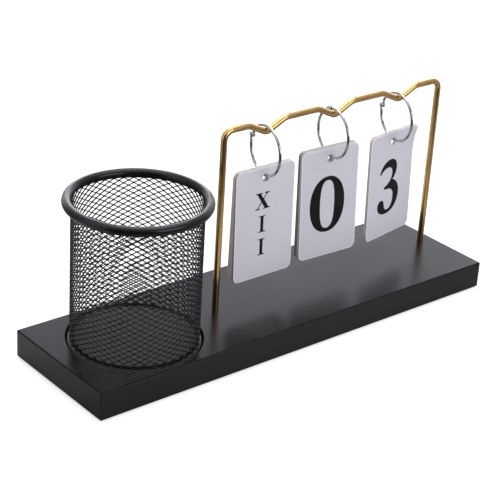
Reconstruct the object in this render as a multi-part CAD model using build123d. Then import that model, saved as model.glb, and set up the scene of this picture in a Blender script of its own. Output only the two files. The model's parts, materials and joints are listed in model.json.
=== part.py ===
from build123d import *
from dataclasses import dataclass
from math import asin, atan2, cos, degrees, hypot, pi, radians, sqrt, tan
import os

# Desk calendar with a pen cup. A flat board carries a mesh cup, open at both ends, whose foot stands
# in a ring groove at the board's left end, and a bent wire frame at its right. Three binder rings hang
# in notches of the frame's bar, and each holds a stack of punched cards: the month, the tens and the
# units of the date.
# Millimetres. +X runs along the board towards the frame, +Y to the back, +Z up.
# The origin is under the middle of the board, on the surface that the pads stand on.

# Board and its foot pads
BOARD_THICKNESS = 18.0
BOARD_EDGE_RADIUS = 0.6
PAD_DIAMETER = 12.0
PAD_THICKNESS = 1.0
PAD_EDGE_CHAMFER = 0.2
PAD_FROM_END = 16.0
PAD_FROM_SIDE = 14.0

# Pen cup. Its mesh is drawn with wider diamonds than the real one's, which are 5.9 by 3.4 mm.
CUP_WALL_DIAMETER = 78.8
CUP_WALL_THICKNESS = 1.0
CUP_HEIGHT = 96.2
CUP_RIM_TUBE = 5.9
CUP_RIM_OVERHANG = 2.2
CUP_BASE_TUBE = 3.6
CUP_SEAM_CLEARANCE = 0.05
MESH_ROUND = 14
MESH_ROWS = 16
MESH_STRAND = 1.7
MESH_BAND = 4.0
GROOVE_DEPTH = 4.6
GROOVE_CLEARANCE = 0.5
GROOVE_LIP_CHAMFER = 0.4
GROOVE_FROM_SIDE = 3.3
GROOVE_FROM_END = 13.3
CUP_SEAT_GAP = 0.2

# Wire frame
ROD_DIAMETER = 4.2
POST_FROM_GROOVE = 19.8
POST_FROM_END = 13.5
BAR_HEIGHT = 119.3
FRAME_BEND_RADIUS = 6.0
NOTCH_HALF_WIDTH = 14.3
NOTCH_DEPTH = 6.3
NOTCH_SHOULDER_RADIUS = 11.0
NOTCH_VALLEY_RADIUS = 4.5
POST_SEAT_DEPTH = 12.0
POST_SEAT_CLEARANCE = 0.05

# Binder rings
RING_DIAMETER = 31.8
RING_WIRE = 1.9
RING_YAW = 6.0
RING_SEAT_GAP = 0.1
LAP_LENGTH = 3.2
LAP_GAP = 0.1
EYE_DIAMETER = 3.4
EYE_THICKNESS = 1.1
EYE_CLEARANCE = 0.25
RIVET_DIAMETER = 1.1
RIVET_HEAD_DIAMETER = 2.0
RIVET_HEAD_HEIGHT = 0.45
RIVET_PRESS_CLEARANCE = 0.02
RIVET_TURN_CLEARANCE = 0.05

# Cards
CARD_WIDTH = 47.0
CARD_HEIGHT = 73.4
CARD_THICKNESS = 0.4
CARD_CORNER_RADIUS = 4.0
CARD_HOLE_DIAMETER = 4.6
CARD_HOLE_FROM_TOP = 7.0
CARD_SEAT_GAP = 0.15
CARD_GAP = 8.5
FIRST_CARD_FROM_POST = 9.5
LAST_CARD_FROM_POST = 12.5


@dataclass(frozen=True)
class Stack:
    """One ring with its cards, listed from the front card to the back one."""

    name: str
    cards: int
    hinge_angle: float
    front_y: float
    card_pitch: float
    front_tilt: float
    back_tilt: float
    yaw: float


# The hinge angle of a ring is counted from its lowest point round the back.
# A card's tilt is negative where its lower edge leans to the front.
STACKS = [
    Stack("month", 6, hinge_angle=110.0, front_y=-2.4, card_pitch=0.72, front_tilt=-2.0, back_tilt=0.4, yaw=0.3),
    Stack("tens", 4, hinge_angle=160.0, front_y=0.3, card_pitch=1.2, front_tilt=-3.3, back_tilt=-2.1, yaw=-2.4),
    Stack("units", 5, hinge_angle=101.0, front_y=0.9, card_pitch=0.46, front_tilt=-2.0, back_tilt=-1.6, yaw=9.7),
]

# Sizes and places that follow
NOTCH_FIRST = FIRST_CARD_FROM_POST + CARD_WIDTH / 2
NOTCH_PITCH = CARD_WIDTH + CARD_GAP
NOTCH_LAST = CARD_WIDTH / 2 + LAST_CARD_FROM_POST
FRAME_WIDTH = NOTCH_FIRST + (len(STACKS) - 1) * NOTCH_PITCH + NOTCH_LAST
BOARD_BOTTOM_Z = PAD_THICKNESS
BOARD_TOP_Z = BOARD_BOTTOM_Z + BOARD_THICKNESS
CUP_FOOT_Z = BOARD_TOP_Z - GROOVE_DEPTH + CUP_SEAT_GAP
CUP_RIM_Z = CUP_FOOT_Z + CUP_HEIGHT - CUP_RIM_TUBE / 2
CUP_BASE_Z = CUP_FOOT_Z + CUP_BASE_TUBE / 2
WALL_OUTER = CUP_WALL_DIAMETER / 2
WALL_INNER = WALL_OUTER - CUP_WALL_THICKNESS
RIM_RADIUS = WALL_OUTER + CUP_RIM_OVERHANG
BASE_RING_RADIUS = WALL_OUTER
WALL_HEIGHT = CUP_RIM_Z - CUP_BASE_Z
MESH_WIDTH = 2 * pi * WALL_OUTER / MESH_ROUND
MESH_ROW_PITCH = (WALL_HEIGHT - 2 * MESH_BAND) / (MESH_ROWS + 1)
GROOVE_HALF_WIDTH = CUP_BASE_TUBE / 2 + GROOVE_CLEARANCE
GROOVE_OUTER = BASE_RING_RADIUS + GROOVE_HALF_WIDTH
GROOVE_INNER = BASE_RING_RADIUS - GROOVE_HALF_WIDTH
BOARD_WIDTH = 2 * (GROOVE_OUTER + GROOVE_FROM_SIDE)
BOARD_LENGTH = GROOVE_FROM_END + 2 * GROOVE_OUTER + POST_FROM_GROOVE + FRAME_WIDTH + POST_FROM_END
CUP_CENTRE_X = -BOARD_LENGTH / 2 + GROOVE_FROM_END + GROOVE_OUTER
FRAME_LEFT_X = CUP_CENTRE_X + GROOVE_OUTER + POST_FROM_GROOVE
ROD_RADIUS = ROD_DIAMETER / 2
BAR_Z = BOARD_TOP_Z + BAR_HEIGHT
NOTCH_Z = BAR_Z - NOTCH_DEPTH
RING_RADIUS = RING_DIAMETER / 2
WIRE_RADIUS = RING_WIRE / 2
RING_Z = NOTCH_Z + ROD_RADIUS + RING_SEAT_GAP + WIRE_RADIUS - RING_RADIUS
CARD_HOLE_RADIUS = CARD_HOLE_DIAMETER / 2
RING_PLANE = Plane(origin=(0, 0, 0), x_dir=(0, 0, -1), z_dir=(1, 0, 0))


def save(name, shape):
    """Write one sub-part to its own file."""
    shape.label = name
    export_step(shape, f"parts/{name}.step")


def post_xs():
    """Centres of the frame's two posts along the board."""
    return [FRAME_LEFT_X, FRAME_LEFT_X + FRAME_WIDTH]


def notch_x(number):
    """Centre of one notch of the bar, counted from 0."""
    return FRAME_LEFT_X + NOTCH_FIRST + number * NOTCH_PITCH


def base_board():
    """Board with eased edges, the ring groove for the cup's foot and two blind holes for the posts."""
    board = Pos(0, 0, BOARD_BOTTOM_Z + BOARD_THICKNESS / 2) * Box(BOARD_LENGTH, BOARD_WIDTH, BOARD_THICKNESS)
    board = fillet(board.edges(), BOARD_EDGE_RADIUS)
    groove = Cylinder(GROOVE_OUTER, GROOVE_DEPTH) - Cylinder(GROOVE_INNER, GROOVE_DEPTH)
    board -= Pos(CUP_CENTRE_X, 0, BOARD_TOP_Z - GROOVE_DEPTH / 2) * groove
    lips = board.edges().filter_by(GeomType.CIRCLE).group_by(Axis.Z)[-1]
    board = chamfer(lips, GROOVE_LIP_CHAMFER)
    seat = Cylinder(ROD_RADIUS + POST_SEAT_CLEARANCE, POST_SEAT_DEPTH)
    for x in post_xs():
        board -= Pos(x, 0, BOARD_TOP_Z - POST_SEAT_DEPTH / 2) * seat
    return board


def foot_pad(side_x, side_y):
    """Round pad under one corner of the board."""
    x = side_x * (BOARD_LENGTH / 2 - PAD_FROM_END)
    y = side_y * (BOARD_WIDTH / 2 - PAD_FROM_SIDE)
    pad = Pos(x, y, PAD_THICKNESS / 2) * Cylinder(PAD_DIAMETER / 2, PAD_THICKNESS)
    return chamfer(pad.edges().group_by(Axis.Z)[0], PAD_EDGE_CHAMFER)


def notch_corner_depth():
    """Depth of the sharp corner whose rounding leaves the bar at the notch's depth."""
    rise = NOTCH_VALLEY_RADIUS - NOTCH_DEPTH
    leg_angle = asin(NOTCH_VALLEY_RADIUS / hypot(NOTCH_HALF_WIDTH, rise)) - atan2(rise, NOTCH_HALF_WIDTH)
    return NOTCH_HALF_WIDTH * tan(leg_angle)


def wire_frame():
    """One rod: up from the left post, along the notched bar and down the right post."""
    left, right = post_xs()
    foot_z = BOARD_TOP_Z - POST_SEAT_DEPTH
    points = [(left, 0, foot_z), (left, 0, BAR_Z)]
    radii = [FRAME_BEND_RADIUS]
    for number in range(len(STACKS)):
        x = notch_x(number)
        points.append((x - NOTCH_HALF_WIDTH, 0, BAR_Z))
        points.append((x, 0, BAR_Z - notch_corner_depth()))
        points.append((x + NOTCH_HALF_WIDTH, 0, BAR_Z))
        radii += [NOTCH_SHOULDER_RADIUS, NOTCH_VALLEY_RADIUS, NOTCH_SHOULDER_RADIUS]
    points += [(right, 0, BAR_Z), (right, 0, foot_z)]
    radii.append(FRAME_BEND_RADIUS)
    path = FilletPolyline(*points, radius=radii)
    return sweep(Plane(origin=path @ 0, z_dir=path % 0) * Circle(ROD_RADIUS), path=path)


def tube_ring(radius, tube, z):
    """Rolled tube round the cup, open to the wall that it grips."""
    ring = Torus(radius, tube / 2)
    wall_room = Cylinder(WALL_OUTER + CUP_SEAM_CLEARANCE, tube) - Cylinder(WALL_INNER - CUP_SEAM_CLEARANCE, tube)
    return ring, wall_room, Pos(CUP_CENTRE_X, 0, z)


def cup_rim():
    """Rolled rim: the wall runs up into it from below."""
    ring, wall_room, place = tube_ring(RIM_RADIUS, CUP_RIM_TUBE, CUP_RIM_Z)
    return place * (ring - Pos(0, 0, -CUP_RIM_TUBE / 2 + CUP_SEAM_CLEARANCE) * wall_room)


def cup_base_ring():
    """Rolled foot: the wall stands in it from above."""
    ring, wall_room, place = tube_ring(BASE_RING_RADIUS, CUP_BASE_TUBE, CUP_BASE_Z)
    return place * (ring - Pos(0, 0, CUP_BASE_TUBE / 2 - CUP_SEAM_CLEARANCE) * wall_room)


def mesh_opening():
    """Diamond left open between the mesh's strands, flat, with its middle at the origin."""
    height = 2 * MESH_ROW_PITCH
    share = 1 - MESH_STRAND * hypot(MESH_WIDTH, height) / (MESH_WIDTH * height)
    half_width = share * MESH_WIDTH / 2
    half_height = share * height / 2
    return Polygon((half_width, 0), (0, half_height), (-half_width, 0), (0, -half_height))


def cup_wall():
    """Mesh wall from the foot's tube to the rim's: staggered diamonds, creased along their upright axes."""
    sides = 2 * MESH_ROUND
    section = RegularPolygon(WALL_OUTER, sides) - RegularPolygon(WALL_INNER, sides, major_radius=False)
    wall = extrude(section, WALL_HEIGHT / 2, both=True)
    punch = extrude(Plane.YZ.offset(WALL_INNER - CUP_WALL_THICKNESS) * mesh_opening(), 3 * CUP_WALL_THICKNESS)
    openings = []
    for row in range(MESH_ROWS):
        z = (row - (MESH_ROWS - 1) / 2) * MESH_ROW_PITCH
        for place in range(MESH_ROUND):
            angle = 360 * (place + row % 2 / 2) / MESH_ROUND
            openings.append(Pos(0, 0, z) * Rot(0, 0, angle) * punch)
    return Pos(CUP_CENTRE_X, 0, CUP_BASE_Z + WALL_HEIGHT / 2) * (wall - openings)


def ring_place(number):
    """Middle of one ring: its own X axis is the ring's axis and its Y axis points to the back."""
    return Pos(notch_x(number), 0, RING_Z) * Rot(0, 0, -RING_YAW)


def on_ring(angle):
    """Frame at one point of the ring's wire: Y along the wire, Z to the ring's middle."""
    return Rot(angle, 0, 0) * Pos(0, 0, -RING_RADIUS)


def ring_arc(start, end):
    """Round wire of the ring between two angles."""
    path = Edge.make_circle(RING_RADIUS, RING_PLANE, start, end)
    section = Plane(origin=path @ 0, z_dir=path % 0) * Circle(WIRE_RADIUS)
    return sweep(section, path=path)


def arc_angle(length):
    """Angle on the ring that spans a length of its wire."""
    return degrees(length / RING_RADIUS)


def eye(angle, side_x, side_y):
    """Flattened end of the wire at the hinge, on one side of the ring's plane."""
    reach = EYE_DIAMETER / 2 + EYE_CLEARANCE + RING_WIRE / 2
    outline = Circle(EYE_DIAMETER / 2) + Pos(side_y * reach / 2, 0) * Rectangle(reach, RING_WIRE)
    face = Pos(side_x * LAP_GAP / 2, 0, 0) * Plane.YZ * outline
    return on_ring(angle) * extrude(face, side_x * EYE_THICKNESS)


def ring_half(stack, upper):
    """One half of a ring, with its eye at the hinge and its halved end at the closure."""
    side = 1 if upper else -1
    hinge = stack.hinge_angle
    closure = hinge + 180 if upper else hinge - 180
    root = arc_angle(EYE_DIAMETER / 2 + EYE_CLEARANCE)
    lap = arc_angle(LAP_LENGTH / 2 - LAP_GAP)
    wire = ring_arc(hinge + root, closure + lap) if upper else ring_arc(closure - lap, hinge - root)
    room = 2 * RING_WIRE
    lap_cut = Pos(-side * (room - LAP_GAP) / 2, side * room / 2, 0) * Box(room, LAP_LENGTH + room, 2 * room)
    wire -= on_ring(closure) * Pos(0, -side * LAP_GAP / 2, 0) * lap_cut
    half = wire + eye(hinge, side, side)
    bore_clearance = RIVET_PRESS_CLEARANCE if upper else RIVET_TURN_CLEARANCE
    bore = Rot(0, 90, 0) * Cylinder(RIVET_DIAMETER / 2 + bore_clearance, 4 * EYE_THICKNESS)
    return half - on_ring(hinge) * bore


def rivet_head():
    """Domed head with its flat face at the origin, rising along Z."""
    radius = RIVET_HEAD_DIAMETER / 2
    sphere_radius = (radius ** 2 + RIVET_HEAD_HEIGHT ** 2) / (2 * RIVET_HEAD_HEIGHT)
    dome = Pos(0, 0, RIVET_HEAD_HEIGHT - sphere_radius) * Sphere(sphere_radius)
    return dome & Pos(0, 0, sphere_radius) * Box(RIVET_HEAD_DIAMETER, RIVET_HEAD_DIAMETER, 2 * sphere_radius)


def ring_rivet(stack):
    """Rivet through both eyes: tight in the upper one, free in the lower one."""
    tight_x = LAP_GAP / 2 + EYE_THICKNESS
    free_x = tight_x + RIVET_TURN_CLEARANCE
    shank = Pos((tight_x - free_x) / 2, 0, 0) * Rot(0, 90, 0) * Cylinder(RIVET_DIAMETER / 2, tight_x + free_x)
    rivet = shank + Pos(tight_x, 0, 0) * Rot(0, 90, 0) * rivet_head()
    rivet += Pos(-free_x, 0, 0) * Rot(0, -90, 0) * rivet_head()
    return on_ring(stack.hinge_angle) * rivet


def card_blank():
    """Punched card, upright, with the middle of its hole at the origin and its faces along Y."""
    outline = Pos(0, CARD_HOLE_FROM_TOP - CARD_HEIGHT / 2) * RectangleRounded(CARD_WIDTH, CARD_HEIGHT, CARD_CORNER_RADIUS)
    outline -= Circle(CARD_HOLE_RADIUS)
    return extrude(Plane.XZ * outline, CARD_THICKNESS / 2, both=True)


def card_place(number, stack, index):
    """Where one card hangs: its hole rests on the ring's wire, at the card's own place in the stack."""
    y = stack.front_y + index * stack.card_pitch
    along = y / cos(radians(RING_YAW))
    wire_z = RING_Z - sqrt(RING_RADIUS ** 2 - along ** 2)
    hole_z = wire_z + WIRE_RADIUS + CARD_SEAT_GAP - CARD_HOLE_RADIUS
    share = index / (stack.cards - 1)
    tilt = stack.front_tilt + share * (stack.back_tilt - stack.front_tilt)
    x = notch_x(number) + y * tan(radians(RING_YAW))
    return Pos(x, y, hole_z) * Rot(0, 0, stack.yaw) * Rot(tilt, 0, 0)


os.makedirs("parts", exist_ok=True)
save("base_board", base_board())
for side_x, end in ((-1, "left"), (1, "right")):
    for side_y, edge in ((-1, "front"), (1, "back")):
        save(f"foot_pad_{edge}_{end}", foot_pad(side_x, side_y))
save("wire_frame", wire_frame())
save("cup_mesh_wall", cup_wall())
save("cup_rim", cup_rim())
save("cup_base_ring", cup_base_ring())
blank = card_blank()
for number, stack in enumerate(STACKS):
    place = ring_place(number)
    save(f"{stack.name}_ring_upper_half", place * ring_half(stack, upper=True))
    save(f"{stack.name}_ring_lower_half", place * ring_half(stack, upper=False))
    save(f"{stack.name}_ring_rivet", place * ring_rivet(stack))
    for index in range(stack.cards):
        save(f"{stack.name}_card_{index + 1}", card_place(number, stack, index) * blank)
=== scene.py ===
"""Looks of a desk calendar with a mesh pen cup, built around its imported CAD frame.

Everything is in metres in the frame's own axes: +X runs along the board to the bent rod,
+Y to the back and +Z up.
"""

from __future__ import annotations

import json
import logging
import math
from dataclasses import dataclass
from enum import Enum
from typing import Mapping, Sequence, Union

import bmesh
import bpy
import numpy as np
from bpy.types import Material, Node, NodeSocket, NodeTree, Object
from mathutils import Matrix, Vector
from mathutils.geometry import tessellate_polygon


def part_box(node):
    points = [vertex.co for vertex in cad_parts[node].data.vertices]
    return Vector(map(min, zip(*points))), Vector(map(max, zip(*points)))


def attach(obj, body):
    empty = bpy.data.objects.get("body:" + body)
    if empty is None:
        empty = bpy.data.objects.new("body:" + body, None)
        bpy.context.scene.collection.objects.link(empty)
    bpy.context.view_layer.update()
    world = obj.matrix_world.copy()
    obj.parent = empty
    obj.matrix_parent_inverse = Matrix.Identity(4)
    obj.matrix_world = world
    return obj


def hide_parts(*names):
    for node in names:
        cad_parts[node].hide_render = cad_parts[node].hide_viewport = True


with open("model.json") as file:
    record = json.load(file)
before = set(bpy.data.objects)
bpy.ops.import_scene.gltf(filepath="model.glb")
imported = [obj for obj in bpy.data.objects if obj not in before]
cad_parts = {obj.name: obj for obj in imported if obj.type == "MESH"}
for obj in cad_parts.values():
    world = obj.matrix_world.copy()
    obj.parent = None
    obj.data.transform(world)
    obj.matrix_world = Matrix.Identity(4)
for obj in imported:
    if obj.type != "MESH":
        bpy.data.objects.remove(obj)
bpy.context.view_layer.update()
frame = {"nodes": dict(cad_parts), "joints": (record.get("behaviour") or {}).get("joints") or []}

MM = 0.001
# Attribute of how exposed a point is to rubbing; on the cards it holds their painted highlight rim and the
# painted shade on their cut edges.
WEAR = "wear"
LAY = "lay"
NODE_SPACING = 220
# Points closer than this become one.
WELD = 0.002 * MM
Colour = tuple[float, float, float, float]
Setting = Union[float, int, Sequence[float], NodeSocket]
Pairs = tuple[tuple[float, float], ...]
# Tint of what a shiny surface mirrors, and of the sheen on the black finishes.
SHEEN_TINT: Colour = (0.94, 0.925, 1.0, 1.0)

log = logging.getLogger("desk_calendar")


def unit(vector: Sequence[float]) -> np.ndarray:
    """A vector's direction, one unit long.

    Args:
        vector: Any vector that isn't zero.

    Returns:
        The vector divided by its length.
    """
    array = np.asarray(vector, float)
    return array / np.linalg.norm(array)


def grey(level: float, red: float = 1.0, green: float = 1.0, blue: float = 1.0) -> Colour:
    """A linear colour from one level and a slight tint.

    Args:
        level: Brightness, from 0 to 1.
        red: Factor on the red channel.
        green: Factor on the green channel.
        blue: Factor on the blue channel.

    Returns:
        The colour with full opacity.
    """
    return (level * red, level * green, level * blue, 1.0)


class MeshDraft:
    """Points and faces gathered for one piece, with what its finish needs to know about them."""

    def __init__(self) -> None:
        """Start with nothing."""
        self.points: list[np.ndarray] = []
        self.wear: list[np.ndarray] = []
        self.lay: list[np.ndarray] = []
        self.faces: list[list[int]] = []
        self.count = 0

    def add_points(
        self, points: np.ndarray, wear: np.ndarray | float = 0.0, lay: np.ndarray | None = None
    ) -> int:
        """Add points.

        Args:
            points: Array whose last axis holds x, y and z.
            wear: How exposed each point is to rubbing, from 0 to 1, and on the cards their painted highlight
                and painted shade along the edges.
            lay: Place of each point along and round a drawn wire.

        Returns:
            The index of the first of them.
        """
        flat = np.asarray(points, float).reshape(-1, 3)
        first = self.count
        self.points.append(flat)
        self.wear.append(np.broadcast_to(np.asarray(wear, float).reshape(-1), (len(flat),)))
        self.lay.append(np.zeros((len(flat), 3)) if lay is None else np.asarray(lay, float).reshape(-1, 3))
        self.count += len(flat)
        return first

    def add_grid(
        self,
        grid: np.ndarray,
        close_rows: bool = False,
        close_columns: bool = False,
        wear: np.ndarray | float = 0.0,
        lay: np.ndarray | None = None,
    ) -> None:
        """Add a sheet of quads over a grid of points.

        Args:
            grid: Points in rows and columns.
            close_rows: Whether the last row joins the first.
            close_columns: Whether the last column joins the first.
            wear: How exposed each point is to rubbing, and on the cards their painted highlight and painted
                shade along the edges.
            lay: Place of each point along and round a drawn wire.
        """
        rows, columns = grid.shape[:2]
        first = self.add_points(grid, wear, lay)
        index = first + np.arange(rows * columns).reshape(rows, columns)
        if close_rows:
            index = np.vstack([index, index[:1]])
        if close_columns:
            index = np.hstack([index, index[:, :1]])
        quads = np.stack([index[:-1, :-1], index[:-1, 1:], index[1:, 1:], index[1:, :-1]], axis=-1)
        self.faces.extend(quads.reshape(-1, 4).tolist())

    def add_cells(self, cells: np.ndarray, wear: float = 0.0) -> None:
        """Add many small ring-shaped sheets of the same layout at once.

        Args:
            cells: Points as cell, ring, place round the ring, and x, y and z.
            wear: How exposed they are to rubbing.
        """
        number, rings, around = cells.shape[:3]
        first = self.add_points(cells, wear)
        index = first + np.arange(number * rings * around).reshape(number, rings, around)
        after = np.roll(index, -1, axis=2)
        quads = np.stack([index[:, :-1], after[:, :-1], after[:, 1:], index[:, 1:]], axis=-1)
        self.faces.extend(quads.reshape(-1, 4).tolist())

    def add_cap(self, loop: np.ndarray) -> None:
        """Close a loop with a fan round its middle.

        Args:
            loop: Points of the loop in order.
        """
        first = self.add_points(np.vstack([loop, loop.mean(axis=0)]))
        centre = first + len(loop)
        for place in range(len(loop)):
            self.faces.append([first + place, first + (place + 1) % len(loop), centre])

    def add_capped(self, grid: np.ndarray, lay: np.ndarray | None = None) -> None:
        """Add a sheet that closes round its columns, and a cap on its first and last row.

        Args:
            grid: Points in rows and columns.
            lay: Place of each point along and round a drawn wire.
        """
        self.add_grid(grid, close_columns=True, lay=lay)
        self.add_cap(grid[0])
        self.add_cap(grid[-1])

    def add_flat(self, loops: list[np.ndarray]) -> None:
        """Fill a flat outline, less its holes.

        Args:
            loops: The outline's points and then those of each hole.
        """
        first = self.add_points(np.vstack(loops))
        triangles = tessellate_polygon([[Vector(point) for point in loop] for loop in loops])
        self.faces.extend([first + corner for corner in triangle] for triangle in triangles)

    def build(self, name: str, materials: Sequence[Material], sharp_deg: float = 35.0) -> Object:
        """Make the object.

        Args:
            name: Name of the piece.
            materials: Its materials, the first of which covers every face.
            sharp_deg: Creases sharper than this angle stay sharp.

        Returns:
            The new object, linked to the scene.
        """
        mesh = bpy.data.meshes.new(name)
        mesh.from_pydata(np.vstack(self.points).tolist(), [], self.faces)
        wear = mesh.attributes.new(WEAR, "FLOAT", "POINT")
        wear.data.foreach_set("value", np.concatenate(self.wear))
        lay = mesh.attributes.new(LAY, "FLOAT_VECTOR", "POINT")
        lay.data.foreach_set("vector", np.vstack(self.lay).ravel())
        work = bmesh.new()
        work.from_mesh(mesh)
        bmesh.ops.remove_doubles(work, verts=work.verts, dist=WELD)
        bmesh.ops.recalc_face_normals(work, faces=work.faces)
        work.to_mesh(mesh)
        work.free()
        mesh.shade_smooth()
        mesh.set_sharp_from_angle(angle=math.radians(sharp_deg))
        for material in materials:
            mesh.materials.append(material)
        piece = bpy.data.objects.new(name, mesh)
        bpy.context.scene.collection.objects.link(piece)
        return piece


def circle(radius: float, sides: int) -> np.ndarray:
    """Points round a circle.

    Args:
        radius: Its radius.
        sides: How many points.

    Returns:
        The points as pairs.
    """
    angles = np.linspace(0, 2 * math.pi, sides, endpoint=False)
    return radius * np.column_stack([np.cos(angles), np.sin(angles)])


def turned(profile: np.ndarray, centre: np.ndarray, axis: np.ndarray, sides: int) -> np.ndarray:
    """Points of a profile turned round an axis.

    Args:
        profile: Pairs of distance from the axis and place along it.
        centre: Point where the place along the axis is 0.
        axis: Direction of the axis.
        sides: How many copies of the profile go round.

    Returns:
        A grid with one row for each point of the profile.
    """
    axis = unit(axis)
    upright = abs(axis[2]) >= 0.9
    helper = np.array([1.0, 0.0, 0.0]) if upright else np.array([0.0, 0.0, 1.0])
    first = unit(np.cross(helper, axis))
    second = np.cross(axis, first)
    ring = circle(1.0, sides)
    directions = ring[:, :1] * first + ring[:, 1:] * second
    return centre + profile[:, None, :1] * directions[None] + profile[:, None, 1:] * axis


def arc_profile(
    centre: tuple[float, float], radius: float, start_deg: float, end_deg: float, steps: int
) -> np.ndarray:
    """Points of an arc in a flat profile.

    Args:
        centre: Its centre.
        radius: Its radius.
        start_deg: Angle of the first point.
        end_deg: Angle of the last point.
        steps: Number of stretches between points.

    Returns:
        The points as pairs.
    """
    angles = np.radians(np.linspace(start_deg, end_deg, steps + 1))
    return np.array(centre) + radius * np.column_stack([np.cos(angles), np.sin(angles)])


def rounded_rectangle(half_width: float, half_height: float, corner: float, steps: int) -> np.ndarray:
    """Points round a rectangle with rounded corners.

    Args:
        half_width: Half its width.
        half_height: Half its height.
        corner: Radius of its corners.
        steps: Number of stretches in each corner.

    Returns:
        The points as pairs, from the upper end of its right side and round by the top.
    """
    corners = []
    for quarter, (side_x, side_y) in enumerate(((1, 1), (-1, 1), (-1, -1), (1, -1))):
        middle = (side_x * (half_width - corner), side_y * (half_height - corner))
        corners.append(arc_profile(middle, corner, 90 * quarter, 90 * quarter + 90, steps))
    return np.vstack(corners)


def disc_profile(
    radius: float, ends: tuple[float, float], rounding: tuple[float, float], flat: float, steps: int
) -> np.ndarray:
    """Profile of a flat disc with rounded edges, from its lower face to its upper one.

    Args:
        radius: The disc's radius.
        ends: Places of its lower and upper face along the axis.
        rounding: Radius of the lower and the upper edge.
        flat: Distance from the axis where its faces start.
        steps: Number of stretches in each edge.

    Returns:
        Pairs of distance from the axis and place along it.
    """
    (low, high), (under, over) = ends, rounding
    lower_edge = arc_profile((radius - under, low + under), under, -90, 0, steps)
    upper_edge = arc_profile((radius - over, high - over), over, 0, 90, steps)
    return np.vstack([[(flat, low)], lower_edge, upper_edge, [(flat, high)]])


def lay_of(along: np.ndarray, ring: np.ndarray) -> np.ndarray:
    """Places along and round a wire, for the lines of its drawn finish.

    Args:
        along: Place of each of its sections along it, in wire radii.
        ring: Points round a circle of radius 1.

    Returns:
        The places as a grid, with one row for each section.
    """
    return np.stack(np.broadcast_arrays(along[:, None], ring[None, :, 0], ring[None, :, 1]), axis=-1)


def swept(line: np.ndarray, radius: float, sides: int, across: np.ndarray) -> tuple[np.ndarray, np.ndarray]:
    """A round tube along a line that stays in one plane.

    Args:
        line: Points of the line.
        radius: The tube's radius.
        sides: Points round the tube.
        across: Direction square to the line's plane.

    Returns:
        The tube's grid of points, and each one's place along and round the tube.
    """
    tangent = np.gradient(line, axis=0)
    tangent /= np.linalg.norm(tangent, axis=1)[:, None]
    normal = np.cross(across, tangent)
    ring = circle(1.0, sides)
    grid = line[:, None] + radius * (ring[None, :, :1] * normal[:, None] + ring[None, :, 1:] * across)
    along = np.concatenate([[0], np.cumsum(np.linalg.norm(np.diff(line, axis=0), axis=1))]) / radius
    return grid, lay_of(along, ring)


class Blend(Enum):
    """What a mix node mixes: its data type, and the end of its sockets' identifiers."""

    COLOURS = ("RGBA", "Color")
    LEVELS = ("FLOAT", "Float")


class Hand:
    """Adds and links the nodes of one shader tree."""

    def __init__(self, tree: NodeTree) -> None:
        """Start on an emptied tree."""
        self.tree = tree
        tree.nodes.clear()

    def feed(self, socket: NodeSocket, value: Setting) -> None:
        """Set an input, or link it.

        Args:
            socket: The input.
            value: Its value, or the output that feeds it.
        """
        if isinstance(value, NodeSocket):
            self.tree.links.new(value, socket)
        else:
            socket.default_value = value

    def add(self, kind: str, inputs: dict[str | int, Setting] | None = None, **settings: object) -> Node:
        """Add a node.

        Args:
            kind: Blender's name for the type of node.
            inputs: Values or sockets for its inputs, by name or number.
            **settings: Values for its properties.

        Returns:
            The new node.
        """
        node = self.tree.nodes.new(kind)
        node.location = (NODE_SPACING * len(self.tree.nodes), 0)
        for name, value in settings.items():
            setattr(node, name, value)
        for name, value in (inputs or {}).items():
            self.feed(node.inputs[name], value)
        return node

    def math(self, operation: str, first: Setting, second: Setting = 0.0) -> NodeSocket:
        """Result of one operation on two values, which isn't clamped.

        Args:
            operation: Blender's name for the operation.
            first: First value or socket.
            second: Second value or socket.

        Returns:
            The result's socket.
        """
        return self.add("ShaderNodeMath", {0: first, 1: second}, operation=operation).outputs[0]

    def ramp(
        self, value: Setting, low: float, high: float, to_low: float = 0.0, to_high: float = 1.0
    ) -> NodeSocket:
        """A value moved smoothly from one range to another, and held at its ends.

        Args:
            value: Value or socket.
            low: Where the ramp starts.
            high: Where it ends.
            to_low: Result at the start.
            to_high: Result at the end.

        Returns:
            The result's socket.
        """
        ranges = {"Value": value, "From Min": low, "From Max": high, "To Min": to_low, "To Max": to_high}
        return self.add("ShaderNodeMapRange", ranges, interpolation_type="SMOOTHSTEP").outputs["Result"]

    def mix(
        self, factor: Setting, first: Setting, second: Setting, kind: Blend = Blend.COLOURS
    ) -> NodeSocket:
        """Two colours or two levels mixed.

        Args:
            factor: Share of the second one.
            first: First colour or level, or its socket.
            second: Second colour or level, or its socket.
            kind: Whether they are colours or levels.

        Returns:
            The result's socket.
        """
        data_type, ending = kind.value
        node = self.add("ShaderNodeMix", data_type=data_type)
        inputs = {socket.identifier: socket for socket in node.inputs}
        outputs = {socket.identifier: socket for socket in node.outputs}
        self.feed(inputs["Factor_Float"], factor)
        self.feed(inputs[f"A_{ending}"], first)
        self.feed(inputs[f"B_{ending}"], second)
        return outputs[f"Result_{ending}"]


class Effect(Enum):
    """The shared shader node groups."""

    GRAIN = "surface_grain"
    WEAR = "edge_rubbing"
    DUST = "settled_dust"
    LINES = "drawn_lines"


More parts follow.
